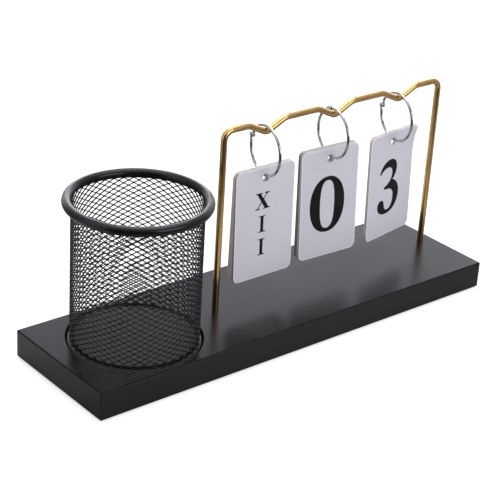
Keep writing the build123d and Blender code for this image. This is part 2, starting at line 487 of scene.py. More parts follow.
class Effects:
    """Builds the shared node groups once. A range is where a noise or a mask goes from none to full."""

    grain_range: tuple[float, float] = (0.3, 0.7)
    patch_range: tuple[float, float] = (0.35, 0.7)
    rubbed_range: tuple[float, float] = (0.0, 0.25)
    speck_range: tuple[float, float] = (0.35, 0.8)
    upward_range: tuple[float, float] = (0.4, 1.0)

    def __init__(self) -> None:
        """Build every group."""
        self.trees = {
            Effect.GRAIN: self._grain(),
            Effect.WEAR: self._wear(),
            Effect.DUST: self._dust(),
            Effect.LINES: self._lines(),
        }

    @staticmethod
    def _start(effect: Effect, inputs: dict[str, float], outputs: Sequence[str]) -> tuple[Hand, Node, Node]:
        """Start a group.

        Args:
            effect: Which effect it is.
            inputs: Names and usual values of its inputs.
            outputs: Names of its outputs.

        Returns:
            A hand on its tree, and its input and output nodes.
        """
        tree = bpy.data.node_groups.new(effect.value, "ShaderNodeTree")
        for name, value in inputs.items():
            given = tree.interface.new_socket(name, in_out="INPUT", socket_type="NodeSocketFloat")
            given.default_value = value
        for name in outputs:
            tree.interface.new_socket(name, in_out="OUTPUT", socket_type="NodeSocketFloat")
        hand = Hand(tree)
        return hand, hand.add("NodeGroupInput"), hand.add("NodeGroupOutput")

    @staticmethod
    def _noise(hand: Hand, size: NodeSocket, detail: float, roughness: float) -> NodeSocket:
        """Noise that stays on the object.

        Args:
            hand: Hand on the group's tree.
            size: Size of its patches in millimetres.
            detail: Number of finer layers in it.
            roughness: Strength of the finer layers.

        Returns:
            The noise's socket.
        """
        place = hand.add("ShaderNodeTexCoord").outputs["Object"]
        scale = hand.math("DIVIDE", 1 / MM, size)
        settings = {"Vector": place, "Scale": scale, "Detail": detail, "Roughness": roughness}
        return hand.add("ShaderNodeTexNoise", settings).outputs["Fac"]

    def _grain(self) -> NodeTree:
        """Fine grain and slow drift over a surface.

        Returns:
            The group, whose outputs run from 0 to 1.
        """
        sizes = {"Grain Size": 0.5, "Drift Size": 30.0}
        hand, given, out = self._start(Effect.GRAIN, sizes, ("Grain", "Drift"))
        for name in ("Grain", "Drift"):
            noise = self._noise(hand, given.outputs[f"{name} Size"], detail=3.0, roughness=0.55)
            hand.feed(out.inputs[name], hand.ramp(noise, *self.grain_range))
        return hand.tree

    def _wear(self) -> NodeTree:
        """Patches where an exposed edge is rubbed.

        Returns:
            The group, whose output is 1 where the finish has gone.
        """
        hand, given, out = self._start(Effect.WEAR, {"Reach": 0.5, "Patch Size": 6.0}, ("Rubbed",))
        exposed = hand.add("ShaderNodeAttribute", attribute_name=WEAR).outputs["Fac"]
        noise = self._noise(hand, given.outputs["Patch Size"], detail=5.0, roughness=0.7)
        threshold = hand.math("SUBTRACT", 1.0, given.outputs["Reach"])
        patches = hand.math("MULTIPLY", exposed, hand.ramp(noise, *self.patch_range))
        over = hand.math("SUBTRACT", patches, threshold)
        hand.feed(out.inputs["Rubbed"], hand.ramp(over, *self.rubbed_range))
        return hand.tree

    def _dust(self) -> NodeTree:
        """Dust on what faces up.

        Returns:
            The group, whose output is the share that dust covers.
        """
        hand, given, out = self._start(Effect.DUST, {"Amount": 0.1, "Speck Size": 1.0}, ("Dust",))
        normal = hand.add("ShaderNodeNewGeometry").outputs["Normal"]
        up = hand.add("ShaderNodeSeparateXYZ", {"Vector": normal}).outputs["Z"]
        noise = self._noise(hand, given.outputs["Speck Size"], detail=6.0, roughness=0.65)
        specks = hand.ramp(noise, *self.speck_range)
        cover = hand.math("MULTIPLY", hand.ramp(up, *self.upward_range), specks)
        hand.feed(out.inputs["Dust"], hand.math("MULTIPLY", cover, given.outputs["Amount"]))
        return hand.tree

    def _lines(self) -> NodeTree:
        """Fine lines along a drawn wire.

        Returns:
            The group, whose output runs from 0 to 1.
        """
        hand, given, out = self._start(Effect.LINES, {"Fineness": 8.0, "Stretch": 0.05}, ("Lines",))
        lay = hand.add("ShaderNodeAttribute", attribute_name=LAY).outputs["Vector"]
        parts = hand.add("ShaderNodeSeparateXYZ", {"Vector": lay}).outputs
        along = hand.math("MULTIPLY", parts["X"], given.outputs["Stretch"])
        vector = hand.add("ShaderNodeCombineXYZ", {"X": along, "Y": parts["Y"], "Z": parts["Z"]}).outputs[0]
        settings = {"Vector": vector, "Scale": given.outputs["Fineness"], "Detail": 4.0, "Roughness": 0.6}
        noise = hand.add("ShaderNodeTexNoise", settings).outputs["Fac"]
        hand.feed(out.inputs["Lines"], hand.ramp(noise, *self.grain_range))
        return hand.tree


@dataclass(frozen=True)
class Grain:
    """Grain of a surface: its size and its slow drift's in millimetres, and its relief."""

    size: float
    depth: float
    drift: float = 45.0
    strength: float = 0.5


class FinishDraft:
    """A material in the making, with the grain that every finish has."""

    def __init__(self, name: str, effects: Effects, grain: Grain) -> None:
        """Start the material, its Principled shader and its grain.

        Args:
            name: Name of the finish.
            effects: The shared node groups.
            grain: The surface's grain.
        """
        self.material = bpy.data.materials.new(name)
        self.material.use_nodes = True
        self.hand = Hand(self.material.node_tree)
        self.shader = self.hand.add("ShaderNodeBsdfPrincipled")
        self.hand.add("ShaderNodeOutputMaterial", {"Surface": self.shader.outputs[0]})
        self.effects = effects
        self.grain = grain
        grains = self.place(Effect.GRAIN, grain_size=grain.size, drift_size=grain.drift)
        self.fine, self.drift = grains["Grain"], grains["Drift"]

    def place(self, effect: Effect, **values: float) -> Mapping[str, NodeSocket]:
        """Place one shared group in the material.

        Args:
            effect: Which group.
            **values: Its inputs, with _ for each space in their names.

        Returns:
            The group's outputs, by name.
        """
        inputs = {name.replace("_", " ").title(): value for name, value in values.items()}
        return self.hand.add("ShaderNodeGroup", inputs, node_tree=self.effects.trees[effect]).outputs

    def finished(
        self, colour: NodeSocket, roughness: NodeSocket, height: NodeSocket, uniform: dict[str, Setting]
    ) -> Material:
        """Link what changes over the surface, and set what doesn't on the shader itself.

        Args:
            colour: Its colour.
            roughness: Its roughness.
            height: Height of its relief.
            uniform: The shader's other values, by the names of their inputs.

        Returns:
            The material.
        """
        relief = {"Height": height, "Strength": self.grain.strength, "Distance": self.grain.depth}
        normal = self.hand.add("ShaderNodeBump", relief).outputs[0]
        linked = {"Base Color": colour, "Roughness": roughness, "Normal": normal}
        for name, value in (linked | uniform).items():
            self.hand.feed(self.shader.inputs[name], value)
        return self.material


@dataclass(frozen=True)
class Paint:
    """Sprayed black finish on the board or the cup's steel."""

    name: str
    colour: Colour
    roughness: float
    specular: float
    grain: Grain
    wear_reach: float
    dust: float
    worn_colour: Colour = grey(0.03, 1.0, 0.97, 0.95)
    dust_colour: Colour = grey(0.35, 1.0, 0.98, 0.95)
    patch_size: float = 5.0
    speck_size: float = 0.7
    drift_gain: float = 1.35
    smoother: float = 0.04
    rougher: float = 0.05
    dust_roughness: float = 0.4

    def material(self, effects: Effects) -> Material:
        """Build its material.

        Args:
            effects: The shared node groups.

        Returns:
            The material.
        """
        draft = FinishDraft(self.name, effects, self.grain)
        hand = draft.hand
        rubbed = draft.place(Effect.WEAR, reach=self.wear_reach, patch_size=self.patch_size)["Rubbed"]
        dust = draft.place(Effect.DUST, amount=self.dust, speck_size=self.speck_size)["Dust"]
        plain = hand.mix(draft.drift, self.colour, grey(self.drift_gain, *self.colour[:3]))
        worn = hand.mix(rubbed, plain, self.worn_colour)
        dusty = hand.mix(dust, worn, self.dust_colour)
        low, high = self.roughness - self.smoother, self.roughness + self.rougher
        spread = hand.ramp(draft.drift, 0.0, 1.0, low, high)
        rough = hand.math("ADD", spread, hand.math("MULTIPLY", dust, self.dust_roughness))
        uniform = {"Specular IOR Level": self.specular, "Specular Tint": SHEEN_TINT}
        return draft.finished(dusty, rough, draft.fine, uniform)


@dataclass(frozen=True)
class DrawnMetal:
    """Plated and polished wire with faint lines along it."""

    name: str
    colour: Colour
    tarnish: Colour
    roughness: float
    grain: Grain
    fineness: float
    tarnish_share: float
    line_stretch: float = 0.04
    smoother: float = 0.03
    rougher: float = 0.05
    tarnish_roughness: float = 0.12
    grain_share: float = 0.3

    def material(self, effects: Effects) -> Material:
        """Build its material.

        Args:
            effects: The shared node groups.

        Returns:
            The material.
        """
        draft = FinishDraft(self.name, effects, self.grain)
        hand = draft.hand
        lines = draft.place(Effect.LINES, fineness=self.fineness, stretch=self.line_stretch)["Lines"]
        cloud = hand.math("MULTIPLY", draft.drift, self.tarnish_share)
        colour = hand.mix(cloud, self.colour, self.tarnish)
        low, high = self.roughness - self.smoother, self.roughness + self.rougher
        streak = hand.ramp(lines, 0.0, 1.0, low, high)
        rough = hand.math("ADD", streak, hand.math("MULTIPLY", cloud, self.tarnish_roughness))
        height = hand.math("ADD", lines, hand.math("MULTIPLY", draft.fine, self.grain_share))
        return draft.finished(colour, rough, height, {"Metallic": 1.0})


class Edge(Enum):
    """How a card's cut edge and rim are painted, from 0 to 1: a pale painted highlight up to the lowest
    level, and painted shade of the gaps between stacked cards above it.
    """

    HIGHLIT = 0.3
    HALF_SHADED = 0.45
    SHADED = 0.8


@dataclass(frozen=True)
class CoatedCard:
    """Pale card stock with a satin coat, a pale painted highlight along its rim, and painted shade of the
    gaps between stacked cards along its cut edges.
    """

    name: str = "coated_card"
    colour: Colour = (0.67, 0.647, 0.738, 1.0)
    shade: Colour = (0.645, 0.622, 0.71, 1.0)
    # The rim's pale colour is a painted highlight, and the dark colour on the cut edges is painted shade of
    # the gaps between stacked cards.
    rim: Colour = (0.79, 0.755, 0.785, 1.0)
    painted_edge_shade: Colour = (0.15, 0.128, 0.135, 1.0)
    roughness: float = 0.42
    rougher: float = 0.08
    specular: float = 0.4
    patchiness: float = 0.08
    fibres: Grain = Grain(size=0.5, depth=0.02 * MM, drift=38.0, strength=0.25)

    def material(self, effects: Effects) -> Material:
        """Build its material.

        Args:
            effects: The shared node groups.

        Returns:
            The material.
        """
        draft = FinishDraft(self.name, effects, self.fibres)
        hand = draft.hand
        # The attribute paints the pale highlight along the rim and, above it, painted shade on the cut
        # edges; a little of the grain makes that shade patchy.
        edge_paint = hand.add("ShaderNodeAttribute", attribute_name=WEAR).outputs["Fac"]
        sheet = hand.mix(draft.drift, self.colour, self.shade)
        highlit_sheet = hand.mix(hand.ramp(edge_paint, 0.0, Edge.HIGHLIT.value), sheet, self.rim)
        patchy = hand.math("SUBTRACT", edge_paint, hand.math("MULTIPLY", draft.fine, self.patchiness))
        edge = hand.mix(hand.ramp(patchy, Edge.HIGHLIT.value, 1.0), highlit_sheet, self.painted_edge_shade)
        rough = hand.ramp(draft.fine, 0.0, 1.0, self.roughness, self.roughness + self.rougher)
        return draft.finished(edge, rough, draft.fine, {"Specular IOR Level": self.specular})


@dataclass(frozen=True)
class PrintInk:
    """Black ink, a little uneven where it covers the card's fibres."""

    name: str = "print_ink"
    colour: Colour = (0.0075, 0.007, 0.009, 1.0)
    thin: Colour = (0.02, 0.019, 0.023, 1.0)
    roughness: float = 0.5
    smoother: float = 0.05
    rougher: float = 0.1
    specular: float = 0.15
    fibres: Grain = Grain(size=0.6, depth=0.02 * MM, drift=9.0, strength=0.3)

    def material(self, effects: Effects) -> Material:
        """Build its material.

        Args:
            effects: The shared node groups.

        Returns:
            The material.
        """
        draft = FinishDraft(self.name, effects, self.fibres)
        hand = draft.hand
        colour = hand.mix(hand.math("MULTIPLY", draft.fine, draft.drift), self.colour, self.thin)
        low, high = self.roughness - self.smoother, self.roughness + self.rougher
        rough = hand.ramp(draft.fine, 0.0, 1.0, low, high)
        return draft.finished(colour, rough, draft.fine, {"Specular IOR Level": self.specular})


@dataclass(frozen=True)
class PadFoam:
    """Closed-cell foam of the foot pads."""

    name: str = "pad_foam"
    colour: Colour = (0.012, 0.012, 0.013, 1.0)
    cell_wall: Colour = (0.035, 0.035, 0.037, 1.0)
    dust_colour: Colour = grey(0.3)
    dust: float = 0.1
    speck_size: float = 0.5
    roughness: float = 0.8
    rougher: float = 0.15
    cells: Grain = Grain(size=0.3, depth=0.1 * MM, drift=5.0, strength=0.6)

    def material(self, effects: Effects) -> Material:
        """Build its material.

        Args:
            effects: The shared node groups.

        Returns:
            The material.
        """
        draft = FinishDraft(self.name, effects, self.cells)
        hand = draft.hand
        dust = draft.place(Effect.DUST, amount=self.dust, speck_size=self.speck_size)["Dust"]
        colour = hand.mix(dust, hand.mix(draft.fine, self.colour, self.cell_wall), self.dust_colour)
        rough = hand.ramp(draft.drift, 0.0, 1.0, self.roughness, self.roughness + self.rougher)
        return draft.finished(colour, rough, draft.fine, {})


@dataclass(frozen=True)
class Palette:
    """Every finish of the object as a material."""

    board_top: Material
    board_side: Material
    powder: Material
    tube: Material
    brass: Material
    nickel: Material
    card: Material
    ink: Material
    foam: Material

    @classmethod
    def mixed(cls) -> Palette:
        """Build all the finishes.

        Returns:
            The palette.
        """
        finishes = {
            "board_top": Paint(
                name="board_lacquer",
                colour=grey(0.0055, 1.0, 0.98, 1.08),
                roughness=0.27,
                specular=0.1,
                grain=Grain(size=0.45, depth=0.012 * MM),
                wear_reach=0.42,
                dust=0.008,
            ),
            "board_side": Paint(
                name="board_side_lacquer",
                colour=grey(0.0066),
                roughness=0.42,
                specular=0.42,
                grain=Grain(size=0.4, depth=0.04 * MM),
                wear_reach=0.42,
                dust=0.01,
            ),
            "powder": Paint(
                name="mesh_powder_coat",
                colour=grey(0.006, 1.0, 0.98, 1.04),
                roughness=0.42,
                specular=0.33,
                grain=Grain(size=0.25, depth=0.03 * MM),
                wear_reach=0.3,
                dust=0.02,
            ),
            "tube": Paint(
                name="tube_powder_coat",
                colour=grey(0.006),
                roughness=0.2,
                specular=0.36,
                grain=Grain(size=0.3, depth=0.02 * MM),
                wear_reach=0.3,
                dust=0.02,
            ),
            "brass": DrawnMetal(
                name="brass_plate",
                colour=(0.86, 0.57, 0.245, 1.0),
                tarnish=(0.50, 0.28, 0.085, 1.0),
                roughness=0.18,
                grain=Grain(size=0.35, depth=0.006 * MM, drift=14.0, strength=0.4),
                fineness=5.0,
                tarnish_share=0.35,
            ),
            "nickel": DrawnMetal(
                name="nickel_plate",
                colour=(0.60, 0.59, 0.58, 1.0),
                tarnish=(0.36, 0.35, 0.34, 1.0),
                roughness=0.13,
                grain=Grain(size=0.35, depth=0.004 * MM, drift=14.0, strength=0.4),
                fineness=4.0,
                tarnish_share=0.25,
            ),
            "card": CoatedCard(),
            "ink": PrintInk(),
            "foam": PadFoam(),
        }
        effects = Effects()
        return cls(**{use: finish.material(effects) for use, finish in finishes.items()})


def dress(piece: Object, body: str, slot: str, *nodes: str) -> None:
    """Say what a piece rides on and what it stands for.

    Args:
        piece: The piece.
        body: Name of its body.
        slot: Name of the record's material slot; not used.
        *nodes: The CAD nodes that it replaces.
    """
    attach(piece, body)
    if nodes:
        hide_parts(*nodes)
    log.info("%s rides on %s, %d faces", piece.name, body, len(piece.data.polygons))


@dataclass
class Board:
    """Lacquered fibreboard with the ring groove for the cup's foot, on four foam pads."""

    palette: Palette
    edge_radius: float = 0.9 * MM
    smallest_corner: float = 0.001 * MM
    support: float = 0.5 * MM
    corner_steps: int = 5
    lip_radius: float = 0.5 * MM
    lip_wear: float = 0.3
    groove_depth: float = 4.6 * MM
    groove_margin: float = 0.5 * MM
    # The groove wall's foot: distances into the groove, and heights over its floor.
    groove_foot: Pairs = ((0.0, 0.6 * MM), (0.2 * MM, 0.15 * MM), (0.6 * MM, 0.0))
    groove_sides: int = 160
    # A face that points up more than this has the top's finish.
    top_normal: float = 0.5
    pad_rounding: tuple[float, float] = (0.22 * MM, 0.176 * MM)
    pad_flat: float = 0.4
    pad_steps: int = 3
    pad_sides: int = 48

    def __post_init__(self) -> None:
        """Take the board's corners and the angles of its rounded edges."""
        self.low, self.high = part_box("base_board")
        self.rise = np.radians(np.linspace(0, 90, self.corner_steps + 1))

    def _loop(self, inset: float, height: float) -> np.ndarray:
        """The board's outline at one height.

        Args:
            inset: How far inside the full outline it lies.
            height: Its height.

        Returns:
            Its points in order.
        """
        half_length, half_width = ((self.high[i] - self.low[i]) / 2 - inset for i in (0, 1))
        corner = max(self.edge_radius - inset, self.smallest_corner)
        flat = rounded_rectangle(half_length, half_width, corner, self.corner_steps)
        return np.column_stack([flat, np.full(len(flat), height)])

    def _round(self, radius: float, height: float) -> np.ndarray:
        """A circle about the groove's middle.

        Args:
            radius: Its radius.
            height: Its height.

        Returns:
            Its points in order.
        """
        low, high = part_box("cup_base_ring")
        flat = circle(radius, self.groove_sides) + [(low[0] + high[0]) / 2, (low[1] + high[1]) / 2]
        return np.column_stack([flat, np.full(len(flat), height)])

    def _add_sides(self, draft: MeshDraft) -> tuple[np.ndarray, np.ndarray]:
        """Add the sides and the rounded edges.

        Args:
            draft: The board's draft.

        Returns:
            The outlines of the flat underside and of the flat top.
        """
        radius, top, bottom = self.edge_radius, self.high[2], self.low[2]
        edge = [(radius * (1 - math.cos(a)), top - radius * (1 - math.sin(a))) for a in self.rise]
        under = [(inset, bottom + top - height) for inset, height in reversed(edge)]
        support = radius + self.support
        rows = [(support, bottom)] + under + edge + [(support, top)]
        rubbed = [math.sin(math.pi * min(inset / radius, 1.0)) for inset, _ in rows]
        loops = np.array([self._loop(inset, height) for inset, height in rows])
        draft.add_grid(loops, close_columns=True, wear=np.repeat(rubbed, loops.shape[1]))
        return loops[0], loops[-1]

    def _add_groove(self, draft: MeshDraft) -> np.ndarray:
        """Add the groove and the disc of the top inside it.

        Args:
            draft: The board's draft.

        Returns:
            The groove's outer edge in the flat top.
        """
        foot_low, foot_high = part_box("cup_base_ring")
        outer = (foot_high[0] - foot_low[0]) / 2 + self.groove_margin
        inner = outer - (foot_high[2] - foot_low[2]) - 2 * self.groove_margin
        radius, top = self.lip_radius, self.high[2]
        lip = [(radius * (1 - math.sin(a)), radius * (1 - math.cos(a))) for a in self.rise]
        foot = [(-into, self.groove_depth - over) for into, over in self.groove_foot]
        wall = [(radius + self.support, 0.0)] + lip + foot
        rings = [self._round(outer + out, top - down) for out, down in wall]
        rings += [self._round(inner - out, top - down) for out, down in wall[::-1]]
        worn = [0.0, 0.0] + [self.lip_wear] * (len(lip) - 1) + [0.0] * len(foot)
        wear = np.repeat(worn + worn[::-1], self.groove_sides)
        draft.add_grid(np.array(rings), close_columns=True, wear=wear)
        draft.add_cap(rings[-1])
        return rings[0]

    def build_board(self) -> Object:
        """Make the board.

        Returns:
            The piece.
        """
        draft = MeshDraft()
        underside, top = self._add_sides(draft)
        groove = self._add_groove(draft)
        draft.add_flat([top, groove])
        draft.add_flat([underside])
        board = draft.build("board", [self.palette.board_top, self.palette.board_side])
        for face in board.data.polygons:
            face.material_index = 0 if face.normal.z > self.top_normal else 1
        dress(board, "base", "board", "base_board")
        return board

    def build_pads(self) -> list[Object]:
        """Make the four foot pads.

        Returns:
            The pieces.
        """
        pads = []
        for corner in ("front_left", "back_left", "front_right", "back_right"):
            low, high = (np.array(point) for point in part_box(f"foot_pad_{corner}"))
            radius, ends = (high[0] - low[0]) / 2, (0.0, high[2] - low[2])
            profile = disc_profile(radius, ends, self.pad_rounding, self.pad_flat * radius, self.pad_steps)
            centre = np.array([*((low + high) / 2)[:2], low[2]])
            draft = MeshDraft()
            draft.add_capped(turned(profile, centre, np.array([0, 0, 1.0]), self.pad_sides))
            pad = draft.build(f"pad_{corner}", [self.palette.foam])
            dress(pad, "base", "pad", f"foot_pad_{corner}")
            pads.append(pad)
        return pads


@dataclass
class BentRod:
    """One brass-plated rod: up from the board, along the notched bar and down again."""

    palette: Palette
    notches: Sequence[float]
    diameter: float = 4.2 * MM
    end_bend: float = 6.0 * MM
    notch_half_width: float = 14.3 * MM
    notch_depth: float = 6.3 * MM
    shoulder_bend: float = 11.0 * MM
    valley_bend: float = 4.5 * MM
    sides: int = 32
    step: float = 3.0 * MM
    bend_step_deg: float = 5.0

    def _corners(self) -> tuple[list[np.ndarray], list[float]]:
        """The bar's line before it is rounded.

        Returns:
            Its corners in the plane of the frame, and the bend at each inner one.
        """
        low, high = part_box("wire_frame")
        radius = self.diameter / 2
        bar = high[2] - radius
        rise = self.valley_bend - self.notch_depth
        reach = math.hypot(self.notch_half_width, rise)
        slope = math.asin(self.valley_bend / reach) - math.atan2(rise, self.notch_half_width)
        valley = bar - self.notch_half_width * math.tan(slope)
        left, right = low[0] + radius, high[0] - radius
        corners = [(left, low[2]), (left, bar)]
        bends = [self.end_bend]
        for x in self.notches:
            corners += [(x - self.notch_half_width, bar), (x, valley), (x + self.notch_half_width, bar)]
            bends += [self.shoulder_bend, self.valley_bend, self.shoulder_bend]
        corners += [(right, bar), (right, low[2])]
        return [np.array(corner) for corner in corners], bends + [self.end_bend]

    def _line(self) -> np.ndarray:
        """The rod's centre line.

        Returns:
            Its points in order.
        """
        corners, bends = self._corners()
        points = [corners[0]]
        # A straight run up to each bend, and then the bend.
        for before, corner, after, bend in zip(corners, corners[1:], corners[2:], bends):
            come, go = unit(corner - before), unit(after - corner)
            turn = math.acos(float(np.clip(come @ go, -1, 1)))
            start = corner - come * bend * math.tan(turn / 2)
            side = np.array([-come[1], come[0]]) * (1 if come[0] * go[1] > come[1] * go[0] else -1)
            stretch = np.linalg.norm(start - points[-1])
            for share in np.linspace(0, 1, max(2, int(stretch / self.step)) + 1)[1:]:
                points.append(start - come * stretch * (1 - share))
            for angle in np.linspace(0, turn, max(3, int(math.degrees(turn) / self.bend_step_deg)) + 1)[1:]:
                points.append(start + bend * (side * (1 - math.cos(angle)) + come * math.sin(angle)))
        start, last = points[-1], corners[-1]
        steps = int(np.linalg.norm(last - start) / self.step) + 1
        points += [start + (last - start) * share for share in np.linspace(0, 1, steps + 1)[1:]]
        flat = np.array(points)
        return np.column_stack([flat[:, 0], np.zeros(len(flat)), flat[:, 1]])

    def build(self) -> Object:
        """Make the rod.

        Returns:
            The piece.
        """
        grid, lay = swept(self._line(), self.diameter / 2, self.sides, np.array([0, 1.0, 0]))
        draft = MeshDraft()
        draft.add_capped(grid, lay=lay)
        rod = draft.build("bent_rod", [self.palette.brass])
        dress(rod, "base", "frame_rod", "wire_frame")
        return rod


@dataclass
class PenCup:
    """Round cup of expanded steel mesh between a rolled rim and a rolled foot."""

    palette: Palette
    diamonds_round: int = 40
    rows: int = 53
    strand: float = 0.79 * MM
    half_thickness: float = 0.3 * MM
    twist: float = 0.22 * MM
    # Half a strand's section: shares of the way to the opening, and of the half thickness.
    section: Pairs = ((0.0, 1.0), (0.72, 0.85), (1.0, 0.0), (0.72, -0.85), (0.0, -1.0))
    wall_below_tube: float = 0.5 * MM
    around: int = 12
    corner_power: float = 1.75
    wall_wear: float = 0.4
    tube_wear: float = 0.3
    tube_steps: int = 240

    @staticmethod
    def _tube(node: str) -> tuple[np.ndarray, float, float]:
        """The circle that one of the cup's tubes follows.

        Args:
            node: Its CAD node.

        Returns:
            Its centre, its radius and the tube's own radius.
        """
        low, high = (np.array(point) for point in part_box(node))
        tube = (high[2] - low[2]) / 2
        return (low + high) / 2, (high[0] - low[0]) / 2 - tube, tube

    def _cell(self, half_width: float, half_height: float) -> np.ndarray:
        """One diamond of the mesh, from the strands' middles to its opening, laid flat.

        Args:
            half_width: Half the diamond's width.
            half_height: Half its height.

        Returns:
            Rings of points from the front's middle line round the strand's edge to the back's.
        """
        turn = np.linspace(0, 2 * math.pi, self.around, endpoint=False)
        cosine, sine = np.cos(turn), np.sin(turn)
        share = 1 - self.strand * math.hypot(half_width, half_height) / (2 * half_width * half_height)
        # The outer points follow the diamond's straight sides, and the opening's a softer outline.
        steps = 4 * np.arange(self.around) / self.around
        outer_u = half_width * (np.abs(steps % 4 - 2) - 1)
        outer_v = half_height * (np.abs((steps + 3) % 4 - 2) - 1)
        hole_u = share * half_width * np.sign(cosine) * np.abs(cosine) ** self.corner_power
        hole_v = share * half_height * np.sign(sine) * np.abs(sine) ** self.corner_power
        lean = -self.twist * sine
        rings = []
        for blend, lift in self.section:
            u = outer_u + (hole_u - outer_u) * blend
            v = outer_v + (hole_v - outer_v) * blend
            rings.append(np.column_stack([u, v, lift * self.half_thickness + lean * blend]))
        return np.array(rings)

    def build_wall(self) -> Object:
        """Make the mesh wall.

        Returns:
            The piece.
        """
        foot, radius, _ = self._tube("cup_base_ring")
        rim = self._tube("cup_rim")[0]
        middle = radius - self.wall_below_tube
        pitch = (rim[2] - foot[2]) / self.rows
        cell = self._cell(math.pi * middle / self.diamonds_round, pitch)
        places = [
            (2 * math.pi * (column + row % 2 / 2) / self.diamonds_round, foot[2] + row * pitch)
            for row in range(1, self.rows)
            for column in range(self.diamonds_round)
        ]
        spots = np.array(places)
        angle = spots[:, 0, None, None] + cell[None, :, :, 0] / middle
        distance = middle + np.broadcast_to(cell[None, :, :, 2], angle.shape)
        height = spots[:, 1, None, None] + cell[None, :, :, 1]
        x, y = foot[0] + distance * np.cos(angle), foot[1] + distance * np.sin(angle)
        draft = MeshDraft()
        draft.add_cells(np.stack([x, y, height], axis=-1), wear=self.wall_wear)
        wall = draft.build("mesh_wall", [self.palette.powder], sharp_deg=60.0)
        dress(wall, "pen_cup", "cup_mesh", "cup_mesh_wall")
        return wall

    def build_tubes(self) -> list[Object]:
        """Make the rolled rim and the rolled foot.

        Returns:
            The pieces.
        """
        tubes = (
            ("cup_rim", "rolled_rim", 36, self.palette.tube),
            ("cup_base_ring", "rolled_foot", 24, self.palette.powder),
        )
        made = []
        for node, name, sides, finish in tubes:
            centre, radius, tube = self._tube(node)
            flat = circle(1.0, self.tube_steps)
            line = centre + radius * np.column_stack([flat, np.zeros(len(flat))])
            outward = (line - centre) / radius
            ring = circle(tube, sides)
            around = ring[None, :, :1] * outward[:, None] + ring[None, :, 1:] * np.array([0, 0, 1.0])
            grid = line[:, None] + around
            draft = MeshDraft()
            draft.add_grid(grid, close_rows=True, close_columns=True, wear=self.tube_wear)
            piece = draft.build(name, [finish])
            dress(piece, "pen_cup", "cup_tube", node)
            made.append(piece)
        return made


